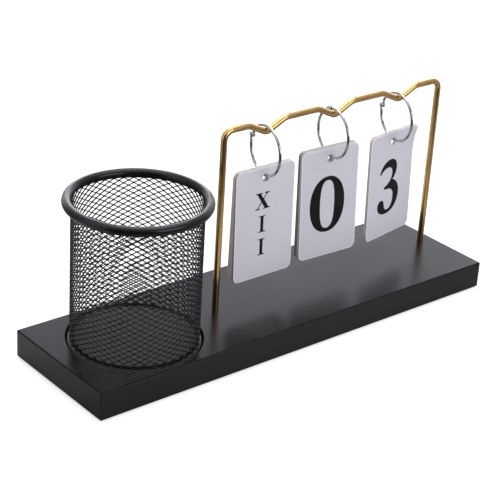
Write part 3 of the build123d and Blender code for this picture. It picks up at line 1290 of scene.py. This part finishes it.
@dataclass
class BinderRing:
    """Hinged ring of nickel-plated wire, with riveted eyes and a halved lap where it closes."""

    palette: Palette
    name: str
    diameter: float = 31.8 * MM
    wire: float = 1.9 * MM
    wire_from_hinge: float = 0.9 * MM
    eye_diameter: float = 3.8 * MM
    eye_thickness: float = 1.1 * MM
    eye_rounding: float = 0.3 * MM
    eye_flat: float = 0.35
    eye_steps: int = 4
    eye_sides: int = 40
    neck: float = 2.2 * MM
    neck_breadth: float = 1.12
    lap: float = 3.2 * MM
    # In radians: the step of the halved lap, and the plain wire left before it and before the end.
    lap_step: float = 0.0015
    lap_clear: float = 0.02
    gap: float = 0.1 * MM
    tip_length: float = 0.15 * MM
    tip_taper: float = 0.18
    head_diameter: float = 2.8 * MM
    head_height: float = 0.65 * MM
    # The head's dome: shares of its radius and of its height.
    dome: Pairs = ((0.2, 0.9), (0.34, 1.0), (0.55, 0.93), (0.78, 0.7), (0.93, 0.4), (1.0, 0.12), (0.97, 0.0))
    dome_middle: tuple[float, float] = (0.02 * MM, 0.86)
    rivet_diameter: float = 1.1 * MM
    rivet_sides: int = 32
    turn_clearance: float = 0.05 * MM
    sides: int = 28
    # Sections in the neck, in the wire and in the lap.
    sections: tuple[int, int, int] = (14, 90, 8)

    def __post_init__(self) -> None:
        """Take the ring's middle, axis and hinge from its joints."""
        self.radius = self.diameter / 2
        joints = {joint["name"]: joint for joint in frame["joints"]}
        opening = joints[f"{self.name}_ring_open"]
        self.centre = np.array(joints[f"{self.name}_leaf_2_turn"]["pos_m"], float)
        self.axis = unit(opening["axis"])
        self.up = np.array([0, 0, 1.0])
        self.back = np.cross(self.up, self.axis)
        self.hinge = np.array(opening["pos_m"], float)
        arm = self.hinge - self.centre
        self.hinge_angle = math.atan2(arm @ self.back, -arm @ self.up)

    def _outward(self, angle: np.ndarray) -> np.ndarray:
        """Direction from the ring's middle, at an angle counted from its lowest point round the back."""
        angle = np.atleast_1d(angle)[:, None]
        return np.sin(angle) * self.back - np.cos(angle) * self.up

    def _stations(self, shoulder: float, span: float) -> np.ndarray:
        """Places of a half's sections, as angles from the hinge.

        Args:
            shoulder: Angle where the lap's halved part starts.
            span: Angle of the wire's end.

        Returns:
            The angles in order.
        """
        start = self.wire_from_hinge / self.radius
        neck = (self.eye_diameter / 2 + self.neck) / self.radius
        in_neck, in_wire, in_lap = self.sections
        runs = [
            np.linspace(start, neck, in_neck),
            np.linspace(neck, shoulder - self.lap_clear, in_wire),
            [shoulder, shoulder + self.lap_step],
            np.linspace(shoulder + self.lap_clear / 2, span - self.lap_clear, in_lap),
        ]
        return np.unique(np.concatenate(runs))

    def _half(self, upper: bool) -> MeshDraft:
        """Shape one half of the ring.

        Args:
            upper: Whether it is the half that stays on the bar.

        Returns:
            Its draft.
        """
        side = 1.0 if upper else -1.0
        wire, thin = self.wire / 2, self.eye_thickness / 2
        aside = self.gap / 2 + thin
        shoulder = math.pi - (self.lap / 2 + self.gap / 2) / self.radius
        away = self._stations(shoulder, math.pi + self.lap / 2 / self.radius)
        # Towards the eye the wire is pressed flat, broader and to its own side of the ring's plane.
        ease = np.clip((away * self.radius - self.eye_diameter / 2) / self.neck, 0, 1)
        ease = (ease * ease * (3 - 2 * ease))[:, None]
        ring = circle(1.0, self.sides)
        across = (thin + (wire - thin) * ease) * ring[None, :, 0] + side * aside * (1 - ease)
        broad = wire * self.neck_breadth
        outward = (broad + (wire - broad) * ease) * ring[None, :, 1]
        # In the lap only the part on its own side of the plane is kept.
        lapped = (away > shoulder + self.lap_step / 2)[:, None]
        across = np.where(lapped, np.maximum(side * across, self.gap / 2) * side, across)
        direction = self._outward(self.hinge_angle + side * away)
        grid = self.centre + direction[:, None] * (self.radius + outward[..., None])
        grid = grid + across[..., None] * self.axis
        lay = lay_of(away * self.radius / wire, ring)
        tip = grid[-1] + (grid[-1].mean(axis=0) - grid[-1]) * self.tip_taper
        tip = tip + side * unit(np.cross(self.axis, direction[-1])) * self.tip_length
        draft = MeshDraft()
        draft.add_capped(np.concatenate([grid, tip[None]]), lay=np.concatenate([lay, lay[-1:]]))
        self._add_eye(draft, side * aside)
        return draft

    def _add_eye(self, draft: MeshDraft, aside: float) -> None:
        """Add the flattened eye round the rivet.

        Args:
            draft: The half's draft.
            aside: How far from the ring's plane the eye's middle lies.
        """
        radius, thin = self.eye_diameter / 2, self.eye_thickness / 2
        rounding = (self.eye_rounding, self.eye_rounding)
        profile = disc_profile(radius, (-thin, thin), rounding, self.eye_flat * radius, self.eye_steps)
        draft.add_capped(turned(profile, self.hinge + aside * self.axis, self.axis, self.eye_sides))

    def build_halves(self) -> list[Object]:
        """Make both halves.

        Returns:
            The pieces.
        """
        made = []
        for upper, word, body in ((True, "upper", "ring"), (False, "lower", "ring_gate")):
            draft = self._half(upper)
            piece = draft.build(f"{self.name}_{word}_wire", [self.palette.nickel], sharp_deg=50.0)
            dress(piece, f"{self.name}_{body}", "ring_wire", f"{self.name}_ring_{word}_half")
            made.append(piece)
        return made

    def build_rivet(self) -> Object:
        """Make the rivet.

        Returns:
            The piece.
        """
        head, shank = self.head_diameter / 2, self.rivet_diameter / 2
        near_face = self.gap / 2 + self.eye_thickness
        far_face = -near_face - self.turn_clearance
        dome = [self.dome_middle] + [(head * out, rise) for out, rise in self.dome]
        near = [(out, near_face + self.head_height * rise) for out, rise in dome]
        far = [(out, far_face - self.head_height * rise) for out, rise in dome]
        profile = np.array(near + [(shank, near_face), (shank, far_face)] + far[::-1])
        draft = MeshDraft()
        draft.add_capped(turned(profile, self.hinge, self.axis, self.rivet_sides))
        rivet = draft.build(f"{self.name}_rivet", [self.palette.nickel], sharp_deg=50.0)
        dress(rivet, f"{self.name}_ring", "rivet", f"{self.name}_ring_rivet")
        return rivet


# Each numeral's outer outline and then its openings, in hundredths of its height.
GLYPHS: dict[str, list[str]] = {
    "0": [
        "37.5 100 C 60 100 75 80 75 50 C 75 20 60 0 37.5 0 C 15 0 0 20 0 50 C 0 80 15 100 37.5 100",
        "37.5 93 C 27 93 22 82 22 50 C 22 18 27 7 37.5 7 C 48 7 53 18 53 50 C 53 82 48 93 37.5 93",
    ],
    "1": [
        "43 100 L 43 9 C 43 6 46 5 58 4.5 L 58 0 L 9 0 L 9 4.5 C 21 5 24 6 24 9 L 24 82 "
        "C 24 86 22 87 18 87 L 7 87 L 7 91 C 20 92 30 95 36 100 L 43 100",
    ],
    "2": [
        "3 74 C 3 66 8 62 14 62 C 20 62 24 66 24 72 C 24 77 20 80 20 85 C 20 91 25 95 31 95 "
        "C 39 95 43 88 43 76 C 43 60 34 47 22 34 C 12 23 4 13 3 2 L 3 0 L 60 0 L 64 32 L 59 32 "
        "C 57 22 54 18 46 18 L 22 18 C 17 18 15 19 14 20 C 20 28 32 36 44 45 C 56 54 63 62 63 74 "
        "C 63 90 50 100 33 100 C 15 100 3 89 3 74",
    ],
    "3": [
        "2 77 C 4 88 14 100 29 100 C 42 100 48 92 48 82 C 48 72 42 65 38 61 C 48 57 56 48 56 34 "
        "C 56 14 43 0 24 0 C 9 0 0 7 0 17 C 0 24 4 28 9 28 C 15 28 17 24 18 17 C 19 11 22 7 27 7 "
        "C 36 7 41 17 41 30 C 41 41 34 46 25 46 L 16 47 L 15 51 C 28 55 36 63 36 74 C 36 82 31 86 24 86 "
        "C 15 86 9 82 5 76 L 2 77",
    ],
    "4": [
        "48 100 L 48 33 L 63 33 L 63 25 L 48 25 L 48 8 C 48 6 50 5 58 4.5 L 58 0 L 20 0 L 20 4.5 "
        "C 28 5 30 6 30 8 L 30 25 L 0 25 L 0 32 L 40 100 L 48 100",
        "30 33 L 6 33 L 30 74 L 30 33",
    ],
    "5": [
        "8 100 C 22 96 40 96 54 100 C 54 86 44 80 32 80 C 22 80 15 82 12 84 L 11 60 C 17 63 24 65 31 65 "
        "C 49 65 60 52 60 34 C 60 13 45 0 25 0 C 10 0 0 7 0 17 C 0 24 4 28 10 28 C 16 28 18 24 19 17 "
        "C 20 11 23 6 29 6 C 38 6 43 16 43 33 C 43 50 38 59 29 59 C 22 59 15 56 11 50 L 6 50 L 8 100",
    ],
    "6": [
        "56 84 C 56 94 48 100 36 100 C 14 100 0 76 0 45 C 0 16 13 0 33 0 C 51 0 64 14 64 33 "
        "C 64 51 53 63 38 63 C 30 63 23 60 19 54 C 20 78 27 95 37 95 C 41 95 42 93 42 90 "
        "C 41 89 40 86 40 84 C 40 79 43 76 48 76 C 53 76 56 79 56 84",
        "33 57 C 27 57 22 54 19 47 L 19 38 C 19 17 24 6 33 6 C 42 6 46 15 46 33 C 46 49 41 57 33 57",
    ],
    "7": [
        "4 100 L 0 67 L 5 67 C 8 77 12 82 20 82 L 50 82 C 38 60 20 45 18 12 C 17 4 20 0 27 0 "
        "C 34 0 38 5 38 13 C 38 30 44 55 62 92 L 62 100 L 4 100",
    ],
    "8": [
        "32 100 C 49 100 59 90 59 77 C 59 67 52 59 44 54 C 56 48 63 39 63 27 C 63 10 50 0 31 0 "
        "C 12 0 0 10 0 25 C 0 36 7 44 17 49 C 9 54 4 63 4 73 C 4 89 15 100 32 100",
        "32 95 C 24 95 19 89 19 80 C 19 70 26 63 37 58 C 42 62 45 68 45 77 C 45 88 41 95 32 95",
        "22 45 C 17 41 14 34 14 26 C 14 13 20 5 31 5 C 41 5 48 11 48 20 C 48 30 38 37 22 45",
    ],
    "I": [
        "0 100 L 52 100 L 52 95 C 40 94 37 93 37 89 L 37 11 C 37 7 40 6 52 5 L 52 0 L 0 0 L 0 5 "
        "C 12 6 15 7 15 11 L 15 89 C 15 93 12 94 0 95 L 0 100",
    ],
    "V": [
        "0 100 L 48 100 L 48 95 C 38 94 37 92 39 87 L 60 34 L 78 84 C 81 92 79 94 68 95 L 68 100 "
        "L 104 100 L 104 95 C 95 94 92 91 89 84 L 56 -2 L 48 -2 L 14 88 C 12 93 9 94 0 95 L 0 100",
    ],
    "X": [
        "2 100 L 50 100 L 50 95 C 40 94 39 92 42 88 L 58 65 L 73 84 C 79 92 78 94 66 95 L 66 100 "
        "L 102 100 L 102 95 C 92 94 87 91 80 83 L 62 60 L 92 12 C 95 7 98 6 106 5 L 106 0 L 56 0 L 56 5 "
        "C 66 6 67 8 64 12 L 46 40 L 26 14 C 20 7 21 6 34 5 L 34 0 L 0 0 L 0 5 C 9 6 14 9 20 16 L 42 46 "
        "L 16 88 C 13 93 10 94 2 95 L 2 100",
    ],
}


def traced(outline: str, steps: int = 10) -> np.ndarray:
    """Points of one closed outline of a numeral.

    Args:
        outline: Its start, then straight runs (L x y) and cubic curves (C and three points), in hundredths.
        steps: Points for each curve.

    Returns:
        The points as pairs, with the height as 1.
    """
    words = outline.split()
    points = [np.array([float(words[0]), float(words[1])])]
    place = 2
    while place < len(words):
        count = 1 if words[place] == "L" else 3
        values = np.array(words[place + 1 : place + 1 + 2 * count], float).reshape(count, 2)
        place += 1 + 2 * count
        if count == 1:
            points.append(values[0])
            continue
        controls = [points[-1], *values]
        for t in np.linspace(0, 1, steps + 1)[1:]:
            weights = ((1 - t) ** 3, 3 * t * (1 - t) ** 2, 3 * t * t * (1 - t), t**3)
            points.append(sum(weight * control for weight, control in zip(weights, controls)))
    return np.array(points[:-1]) / 100


def numeral(mark: str) -> list[np.ndarray]:
    """Outlines of one numeral, centred on its own middle. A 9 is a 6 turned upside down.

    Args:
        mark: A digit, or I, V or X.

    Returns:
        Its outer outline and then its openings.
    """
    loops = [traced(outline) for outline in GLYPHS["6" if mark == "9" else mark]]
    middle = (loops[0].min(axis=0) + loops[0].max(axis=0)) / 2
    loops = [loop - middle for loop in loops]
    return [-loop for loop in loops] if mark == "9" else loops


class Face(Enum):
    """The two faces of a card."""

    FRONT = "front"
    BACK = "back"


@dataclass
class CardStack:
    """Punched cards on one ring, with a plain numeral on each printed face."""

    palette: Palette
    name: str
    fronts: Sequence[str]
    backs: Sequence[str]
    edges: Sequence[Edge]
    numeral_height: float
    numeral_drop: float
    numeral_shift: float
    numeral_stretch: float = 1.0
    curl: float = 0.0
    curl_height: float = 20.0 * MM
    row_pitch: float = 15.5 * MM
    # Many rows are set closer, and a numeral of many marks is smaller.
    full_rows: float = 4.2
    row_margin: float = 0.6
    long_numeral: int = 4
    long_scale: float = 0.82
    corner_radius: float = 4.0 * MM
    corner_steps: int = 8
    edge_step: float = 3.0 * MM
    hole_diameter: float = 5.2 * MM
    hole_from_top: float = 7.2 * MM
    edge_softness: float = 0.1 * MM
    chamfer_share: float = 0.3
    # The strip along the card's edge that carries the painted highlight, and on the cards behind it the
    # painted shade.
    rim_width: float = 0.9 * MM
    shaded_rim_share: float = 0.75
    ink: float = 0.03 * MM
    rings: int = 8
    ring_crowding: float = 1.3

    @staticmethod
    def _placed(node: str) -> tuple[np.ndarray, np.ndarray, np.ndarray]:
        """Where a card hangs.

        Args:
            node: Its CAD node.

        Returns:
            Its middle, its three directions as rows (along its width, to its back, up), and its half sizes.
        """
        mesh = frame["nodes"][node].data
        widest = max(mesh.polygons, key=lambda face: face.area)
        back = np.array(widest.normal)
        back = unit(back if back[1] > 0 else -back)
        wide = unit(np.cross(back, [0, 0, 1.0]))
        axes = np.array([wide, back, np.cross(wide, back)])
        local = np.array([vertex.co for vertex in mesh.vertices]) @ axes.T
        low, high = local.min(axis=0), local.max(axis=0)
        return (low + high) / 2 @ axes, axes, (high - low) / 2

    def _outline(self, half: np.ndarray, hole: np.ndarray) -> tuple[np.ndarray, np.ndarray]:
        """Matching points round the card's edge and its hole.

        Args:
            half: The card's half sizes.
            hole: Middle of the hole.

        Returns:
            Points of the edge and of the hole, as pairs.
        """
        corners = rounded_rectangle(half[0], half[2], self.corner_radius, self.corner_steps)
        following = np.roll(corners, -1, axis=0)
        runs = np.linalg.norm(following - corners, axis=1)
        points = []
        for point, after, run in zip(corners, following, runs):
            for share in np.linspace(0, 1, max(1, round(run / self.edge_step)), endpoint=False):
                points.append(point + (after - point) * share)
        edge = np.array(points)
        toward = edge - hole
        bore = hole + self.hole_diameter / 2 * toward / np.linalg.norm(toward, axis=1)[:, None]
        return edge, bore

    def _card(self, half: np.ndarray, edge_shade: float) -> MeshDraft:
        """Shape one card in its own axes.

        Args:
            half: Its half sizes.
            edge_shade: How dark its cut edge and rim are painted at the left and right sides, as painted
                shade of the gaps between stacked cards.

        Returns:
            Its draft.
        """
        hole = np.array([0.0, half[2] - self.hole_from_top])
        edge, bore = self._outline(half, hole)
        soft = self.edge_softness
        chamfer = self.chamfer_share * soft
        rim, shaded_rim, flat_end, cut = (
            edge * [1 - inset / half[0], 1 - inset / half[2]]
            for inset in (self.rim_width, self.shaded_rim_share * self.rim_width, soft, chamfer)
        )
        lip = bore + soft * (bore - hole) / np.linalg.norm(bore - hole, axis=1)[:, None]
        no_edge_paint = np.zeros(len(edge))
        rim_highlight = np.full(len(edge), Edge.HIGHLIT.value)
        # Painted shade of the gaps between stacked cards, on the cut edges and rims at the left and right
        # sides; the rest of the rim keeps its painted highlight.
        at_sides = np.clip((np.abs(edge[:, 0]) - half[0]) / self.corner_radius + 1, 0, 1)
        mark = rim_highlight + (edge_shade - rim_highlight) * at_sides
        shares = np.linspace(0, 1, self.rings + 1) ** self.ring_crowding
        face = [(lip + (rim - lip) * share, no_edge_paint) for share in shares]
        face += [(shaded_rim, mark), (flat_end, mark)]
        # The rows run from the hole over the front, round the cut edge and over the back to the hole.
        front, back = -half[1], half[1]
        rows = [(flat, front, wear) for flat, wear in face]
        rows += [(cut, front + chamfer, mark), (edge, front + soft, mark)]
        rows += [(edge, back - soft, mark), (cut, back - chamfer, mark)]
        rows += [(flat, back, wear) for flat, wear in face[::-1]]
        rows += [(bore, back - soft, rim_highlight), (bore, front + soft, rim_highlight)]
        flats = np.array([flat for flat, _, _ in rows])
        depths = np.broadcast_to(np.array([depth for _, depth, _ in rows])[:, None], flats.shape[:2])
        grid = np.stack([flats[..., 0], depths, flats[..., 1]], axis=-1)
        draft = MeshDraft()
        wear = np.concatenate([wear for _, _, wear in rows])
        draft.add_grid(grid, close_rows=True, close_columns=True, wear=wear)
        return draft

    def _print(self, text: str, half: np.ndarray, face: Face) -> MeshDraft:
        """Shape the ink on one face of a card, in the card's own axes.

        Args:
            text: The numeral, one mark to a row.
            half: The card's half sizes.
            face: Which face it is on.

        Returns:
            Its draft.
        """
        draft = MeshDraft()
        side = -1.0 if face is Face.FRONT else 1.0
        pitch = min(self.row_pitch, self.full_rows * self.row_pitch / (len(text) + self.row_margin))
        height = self.numeral_height * (1.0 if len(text) < self.long_numeral else self.long_scale)
        for row, mark in enumerate(text):
            drop = self.numeral_drop + (row - (len(text) - 1) / 2) * pitch
            loops = []
            for depth in (half[1] + self.ink, half[1] - self.ink):
                for loop in numeral(mark):
                    flat = loop * [height * self.numeral_stretch, height]
                    across = self.numeral_shift - side * flat[:, 0]
                    points = np.column_stack([across, np.full(len(flat), side * depth), flat[:, 1] - drop])
                    loops.append(points)
            openings = len(loops) // 2
            draft.add_flat(loops[:openings])
            for top, bottom in zip(loops[:openings], loops[openings:]):
                draft.add_grid(np.array([top, bottom]), close_columns=True)
        return draft

    def _bent(self, points: np.ndarray, half: np.ndarray) -> np.ndarray:
        """Curl the top right corner to the front, as the real sheets have curled.

        Args:
            points: Points in the card's own axes.
            half: The card's half sizes.

        Returns:
            The points after the bend.
        """
        rise = np.clip((points[:, 2] - half[2] + self.curl_height) / self.curl_height, 0, 1)
        share = (points[:, 0] / half[0] + 1) / 2
        curl = rise**2 * (self.curl * share**2)
        return points - np.column_stack([np.zeros(len(points)), curl, np.zeros(len(points))])

    def _drafts(self, index: int, half: np.ndarray) -> list[tuple[str, MeshDraft, Material, list[str]]]:
        """Shape one card and what is printed on it.

        Args:
            index: The card's number, from the front.
            half: Its half sizes.

        Returns:
            Name, draft, finish and replaced nodes of each piece.
        """
        leaf = f"{self.name}_leaf_{index}"
        card = self._card(half, self.edges[index - 1].value)
        drafts = [(f"{leaf}_sheet", card, self.palette.card, [f"{self.name}_card_{index}"])]
        for face, texts in ((Face.FRONT, self.fronts), (Face.BACK, self.backs)):
            text = texts[index - 1]
            if text:
                printed = self._print(text, half, face)
                drafts.append((f"{leaf}_{face.value}_numeral", printed, self.palette.ink, []))
        return drafts

    def build(self) -> list[Object]:
        """Make every card and its numerals.

        Returns:
            The pieces.
        """
        made = []
        for index in range(1, len(self.fronts) + 1):
            middle, axes, half = self._placed(f"{self.name}_card_{index}")
            for name, draft, finish, nodes in self._drafts(index, half):
                draft.points = [self._bent(points, half) @ axes + middle for points in draft.points]
                piece = draft.build(name, [finish], sharp_deg=50.0)
                dress(piece, f"{self.name}_leaf_{index}", "card", *nodes)
                made.append(piece)
        return made


def card_stacks(palette: Palette) -> list[CardStack]:
    """The three stacks: the month, the day's tens and the day's units.

    Args:
        palette: The finishes.

    Returns:
        The stacks, from left to right.
    """
    month = CardStack(
        palette,
        "month",
        fronts=("XII", "I", "II", "III", "IV", "V"),
        backs=("VI", "VII", "VIII", "IX", "X", "XI"),
        # Painted shade of the gaps on the cut edges of the cards behind the front one, darkest on the
        # second.
        edges=(Edge.HIGHLIT, Edge.SHADED) + (Edge.HALF_SHADED,) * 4,
        numeral_height=11.0 * MM,
        numeral_drop=0.8 * MM,
        numeral_shift=-1.9 * MM,
    )
    tens = CardStack(
        palette,
        "tens",
        fronts="0123",
        backs=("",) * 4,
        # Painted shade of the gaps on the cut edges of the two rear cards.
        edges=(Edge.HIGHLIT, Edge.HIGHLIT, Edge.SHADED, Edge.SHADED),
        numeral_height=38.2 * MM,
        numeral_drop=1.3 * MM,
        numeral_shift=-1.4 * MM,
    )
    units = CardStack(
        palette,
        "units",
        fronts="31245",
        backs="67890",
        # Every card keeps only the pale painted highlight along its rim.
        edges=(Edge.HIGHLIT,) * 5,
        numeral_height=38.2 * MM,
        numeral_drop=2.1 * MM,
        numeral_shift=-1.6 * MM,
        numeral_stretch=1.05,
        curl=4.0 * MM,
    )
    return [month, tens, units]


@dataclass(frozen=True)
class PhotoCamera:
    """Camera at the photograph's viewing angle."""

    location: tuple[float, float, float] = (-0.58900, -0.66816, 0.47929)
    angles_deg: tuple[float, float, float] = (64.2557, -3.1890, -38.9535)
    sensor: float = 36.0
    lens: float = 112.84
    shift: tuple[float, float] = (0.01379, -0.00365)
    clip: tuple[float, float] = (0.01, 50.0)

    def build(self) -> Object:
        """Make the camera and look through it.

        Returns:
            The camera.
        """
        data = bpy.data.cameras.new("photo_camera")
        data.sensor_width = self.sensor
        data.lens = self.lens
        data.shift_x, data.shift_y = self.shift
        data.clip_start, data.clip_end = self.clip
        camera = bpy.data.objects.new("photo_camera", data)
        camera.location = self.location
        camera.rotation_euler = [math.radians(angle) for angle in self.angles_deg]
        bpy.context.scene.collection.objects.link(camera)
        bpy.context.scene.camera = camera
        return camera


@dataclass(frozen=True)
class SoftLamp:
    """One large soft lamp of the studio."""

    name: str
    location: tuple[float, float, float]
    width: float
    height: float
    power: float

    def build(self, target: Vector) -> Object:
        """Make the lamp.

        Args:
            target: The point that it faces.

        Returns:
            The lamp.
        """
        data = bpy.data.lights.new(self.name, "AREA")
        data.shape = "RECTANGLE"
        data.size, data.size_y = self.width, self.height
        data.energy = self.power
        lamp = bpy.data.objects.new(self.name, data)
        lamp.location = self.location
        lamp.rotation_euler = (target - Vector(self.location)).to_track_quat("-Z", "Y").to_euler()
        bpy.context.scene.collection.objects.link(lamp)
        return lamp


@dataclass
class Studio:
    """White floor and surroundings with soft lamps.

    The camera sees plain white. Matt surfaces see an even room that is dimmer on the left. Shiny ones
    see a room with a bright backdrop, a pale ceiling, a dark side towards the camera and a lit patch
    on the left. A side is a direction from the object, and its reach is where its light starts and is
    full, as the cosine of the angle from that direction.
    """

    floor_half: float = 4.0
    floor_white: float = 0.8
    floor_glow: float = 0.62
    fibre_scale: float = 60.0
    fibre_share: float = 0.99
    near_level: float = 0.62
    near_reach: tuple[float, float] = (0.13, 0.30)
    room_level: float = 0.60
    left_level: float = 0.28
    left_reach: tuple[float, float] = (-0.9, 0.0)
    backdrop_side: tuple[float, float, float] = (0.66, 0.75, 0.16)
    backdrop_reach: tuple[float, float] = (0.52, 0.74)
    backdrop_level: float = 1.45
    # The backdrop fades towards its upper edge.
    fall_reach: tuple[float, float] = (0.42, 0.56)
    fall_share: float = 0.1
    # The backdrop is brightest where the board's top mirrors it to the front.
    core_side: tuple[float, float, float] = (0.589, 0.668, 0.459)
    core_reach: tuple[float, float] = (0.90, 0.96)
    core_level: float = 4.0
    above_side: tuple[float, float, float] = (0.0, 0.1, 1.0)
    above_reach: tuple[float, float] = (0.35, 0.80)
    above_level: float = 0.85
    dark_side: tuple[float, float, float] = (-0.62, -0.78, 0.0)
    dark_reach: tuple[float, float] = (-0.1, 0.6)
    side_level: float = 0.42
    dark_level: float = 0.05
    lit_side: tuple[float, float, float] = (-0.98, 0.2, 0.0)
    lit_reach: tuple[float, float] = (0.90, 0.97)
    lit_level: float = 0.8
    lamp_target: tuple[float, float, float] = (0.0, 0.0, 0.06)
    lamps: tuple[SoftLamp, ...] = (
        SoftLamp("lamp_left", (-1.3, 0.25, 1.0), width=0.9, height=1.2, power=2.0),
        SoftLamp("lamp_above", (0.3, 0.3, 1.8), width=1.4, height=1.0, power=13.0),
        SoftLamp("lamp_front", (0.25, -1.5, 0.6), width=1.2, height=0.9, power=7.6),
    )

    def _around(self, hand: Hand, direction: NodeSocket) -> NodeSocket:
        """How bright the studio looks in a shiny surface, by direction.

        Args:
            hand: Hand on the shader tree.
            direction: Direction from the object, one unit long.

        Returns:
            The level's socket.
        """
        sides = (
            (self.backdrop_side, self.backdrop_reach),
            (self.core_side, self.core_reach),
            (self.above_side, self.above_reach),
            (self.dark_side, self.dark_reach),
            (self.lit_side, self.lit_reach),
        )
        masks = []
        for side, (low, high) in sides:
            pair = {0: direction, 1: tuple(unit(side))}
            toward = hand.add("ShaderNodeVectorMath", pair, operation="DOT_PRODUCT").outputs["Value"]
            masks.append(hand.ramp(toward, low, high))
        backdrop, core, above, dark, lit = masks
        height = hand.add("ShaderNodeSeparateXYZ", {"Vector": direction}).outputs["Z"]
        fall = hand.ramp(height, *self.fall_reach, 1.0, self.fall_share)
        strength = hand.ramp(core, 0.0, 1.0, self.backdrop_level, self.core_level)
        backdrop = hand.math("MULTIPLY", hand.math("MULTIPLY", backdrop, fall), strength)
        above = hand.math("MULTIPLY", above, self.above_level)
        shade = hand.math("MULTIPLY", dark, self.side_level - self.dark_level)
        plain = hand.math("SUBTRACT", self.side_level, shade)
        level = hand.math("MAXIMUM", plain, hand.math("MAXIMUM", backdrop, above))
        return hand.math("ADD", level, hand.math("MULTIPLY", lit, self.lit_level))

    def _floor_finish(self) -> Material:
        """Build the floor's material: matt, and glowing to the camera alone, so that it keeps its shadows.

        Returns:
            The material.
        """
        material = bpy.data.materials.new("floor_white")
        material.use_nodes = True
        hand = Hand(material.node_tree)
        ray = hand.add("ShaderNodeLightPath").outputs
        place = hand.add("ShaderNodeTexCoord").outputs["Object"]
        direction = hand.add("ShaderNodeVectorMath", {0: place}, operation="NORMALIZE").outputs["Vector"]
        distance = hand.add("ShaderNodeVectorMath", {0: place}, operation="LENGTH").outputs["Value"]
        # What shiny surfaces see of the floor is painted light: bright close to the object, and further off
        # as bright as the studio looks in that direction, so dark towards the camera.
        near = hand.ramp(distance, *self.near_reach, self.near_level, 0.0)
        shiny = hand.math("MAXIMUM", near, self._around(hand, direction))
        white = grey(self.floor_white)
        noise = hand.add("ShaderNodeTexNoise", {"Scale": self.fibre_scale, "Detail": 2.0}).outputs["Fac"]
        paper = hand.mix(noise, white, grey(self.floor_white * self.fibre_share))
        mirrored = hand.mix(shiny, grey(0.0), white)
        matt = hand.add("ShaderNodeBsdfDiffuse", {"Color": hand.mix(ray["Is Glossy Ray"], paper, mirrored)})
        glow = hand.math("MULTIPLY", ray["Is Camera Ray"], self.floor_glow)
        light = hand.add("ShaderNodeEmission", {"Color": grey(1.0), "Strength": glow})
        both = hand.add("ShaderNodeAddShader", {0: matt.outputs[0], 1: light.outputs[0]})
        hand.add("ShaderNodeOutputMaterial", {"Surface": both.outputs[0]})
        return material

    def build_floor(self) -> Object:
        """Make the floor.

        Returns:
            The floor.
        """
        half = self.floor_half
        corners = [(-half, -half, 0), (half, -half, 0), (half, half, 0), (-half, half, 0)]
        mesh = bpy.data.meshes.new("studio_floor")
        mesh.from_pydata(corners, [], [(0, 1, 2, 3)])
        mesh.materials.append(self._floor_finish())
        floor = bpy.data.objects.new("studio_floor", mesh)
        bpy.context.scene.collection.objects.link(floor)
        return floor

    def build_room(self) -> None:
        """Make the surroundings."""
        world = bpy.data.worlds.new("studio_room")
        world.use_nodes = True
        hand = Hand(world.node_tree)
        ray = hand.add("ShaderNodeLightPath").outputs
        direction = hand.add("ShaderNodeTexCoord").outputs["Generated"]
        east = hand.add("ShaderNodeSeparateXYZ", {"Vector": direction}).outputs["X"]
        matt = hand.ramp(east, *self.left_reach, self.left_level, self.room_level)
        plain = hand.math("ADD", matt, ray["Is Camera Ray"])
        glossy = ray["Is Glossy Ray"]
        level = hand.mix(glossy, plain, self._around(hand, direction), Blend.LEVELS)
        colour = hand.mix(glossy, grey(1.0), SHEEN_TINT)
        back = hand.add("ShaderNodeBackground", {"Color": colour, "Strength": level})
        hand.add("ShaderNodeOutputWorld", {"Surface": back.outputs[0]})
        bpy.context.scene.world = world

    def build(self) -> None:
        """Make the whole studio."""
        self.build_floor()
        self.build_room()
        for lamp in self.lamps:
            lamp.build(Vector(self.lamp_target))
        bpy.context.scene.view_settings.view_transform = "Standard"


def main() -> None:
    """Build the calendar's looks, piece by piece."""
    logging.basicConfig(level=logging.INFO, format="%(name)s: %(message)s")
    PhotoCamera().build()
    Studio().build()
    palette = Palette.mixed()
    rings = [BinderRing(palette, name) for name in ("month", "tens", "units")]
    board = Board(palette)
    board.build_board()
    board.build_pads()
    BentRod(palette, [ring.centre[0] for ring in rings]).build()
    cup = PenCup(palette)
    cup.build_wall()
    cup.build_tubes()
    for ring in rings:
        ring.build_halves()
        ring.build_rivet()
    for stack in card_stacks(palette):
        stack.build()


if __name__ == "__main__":
    main()
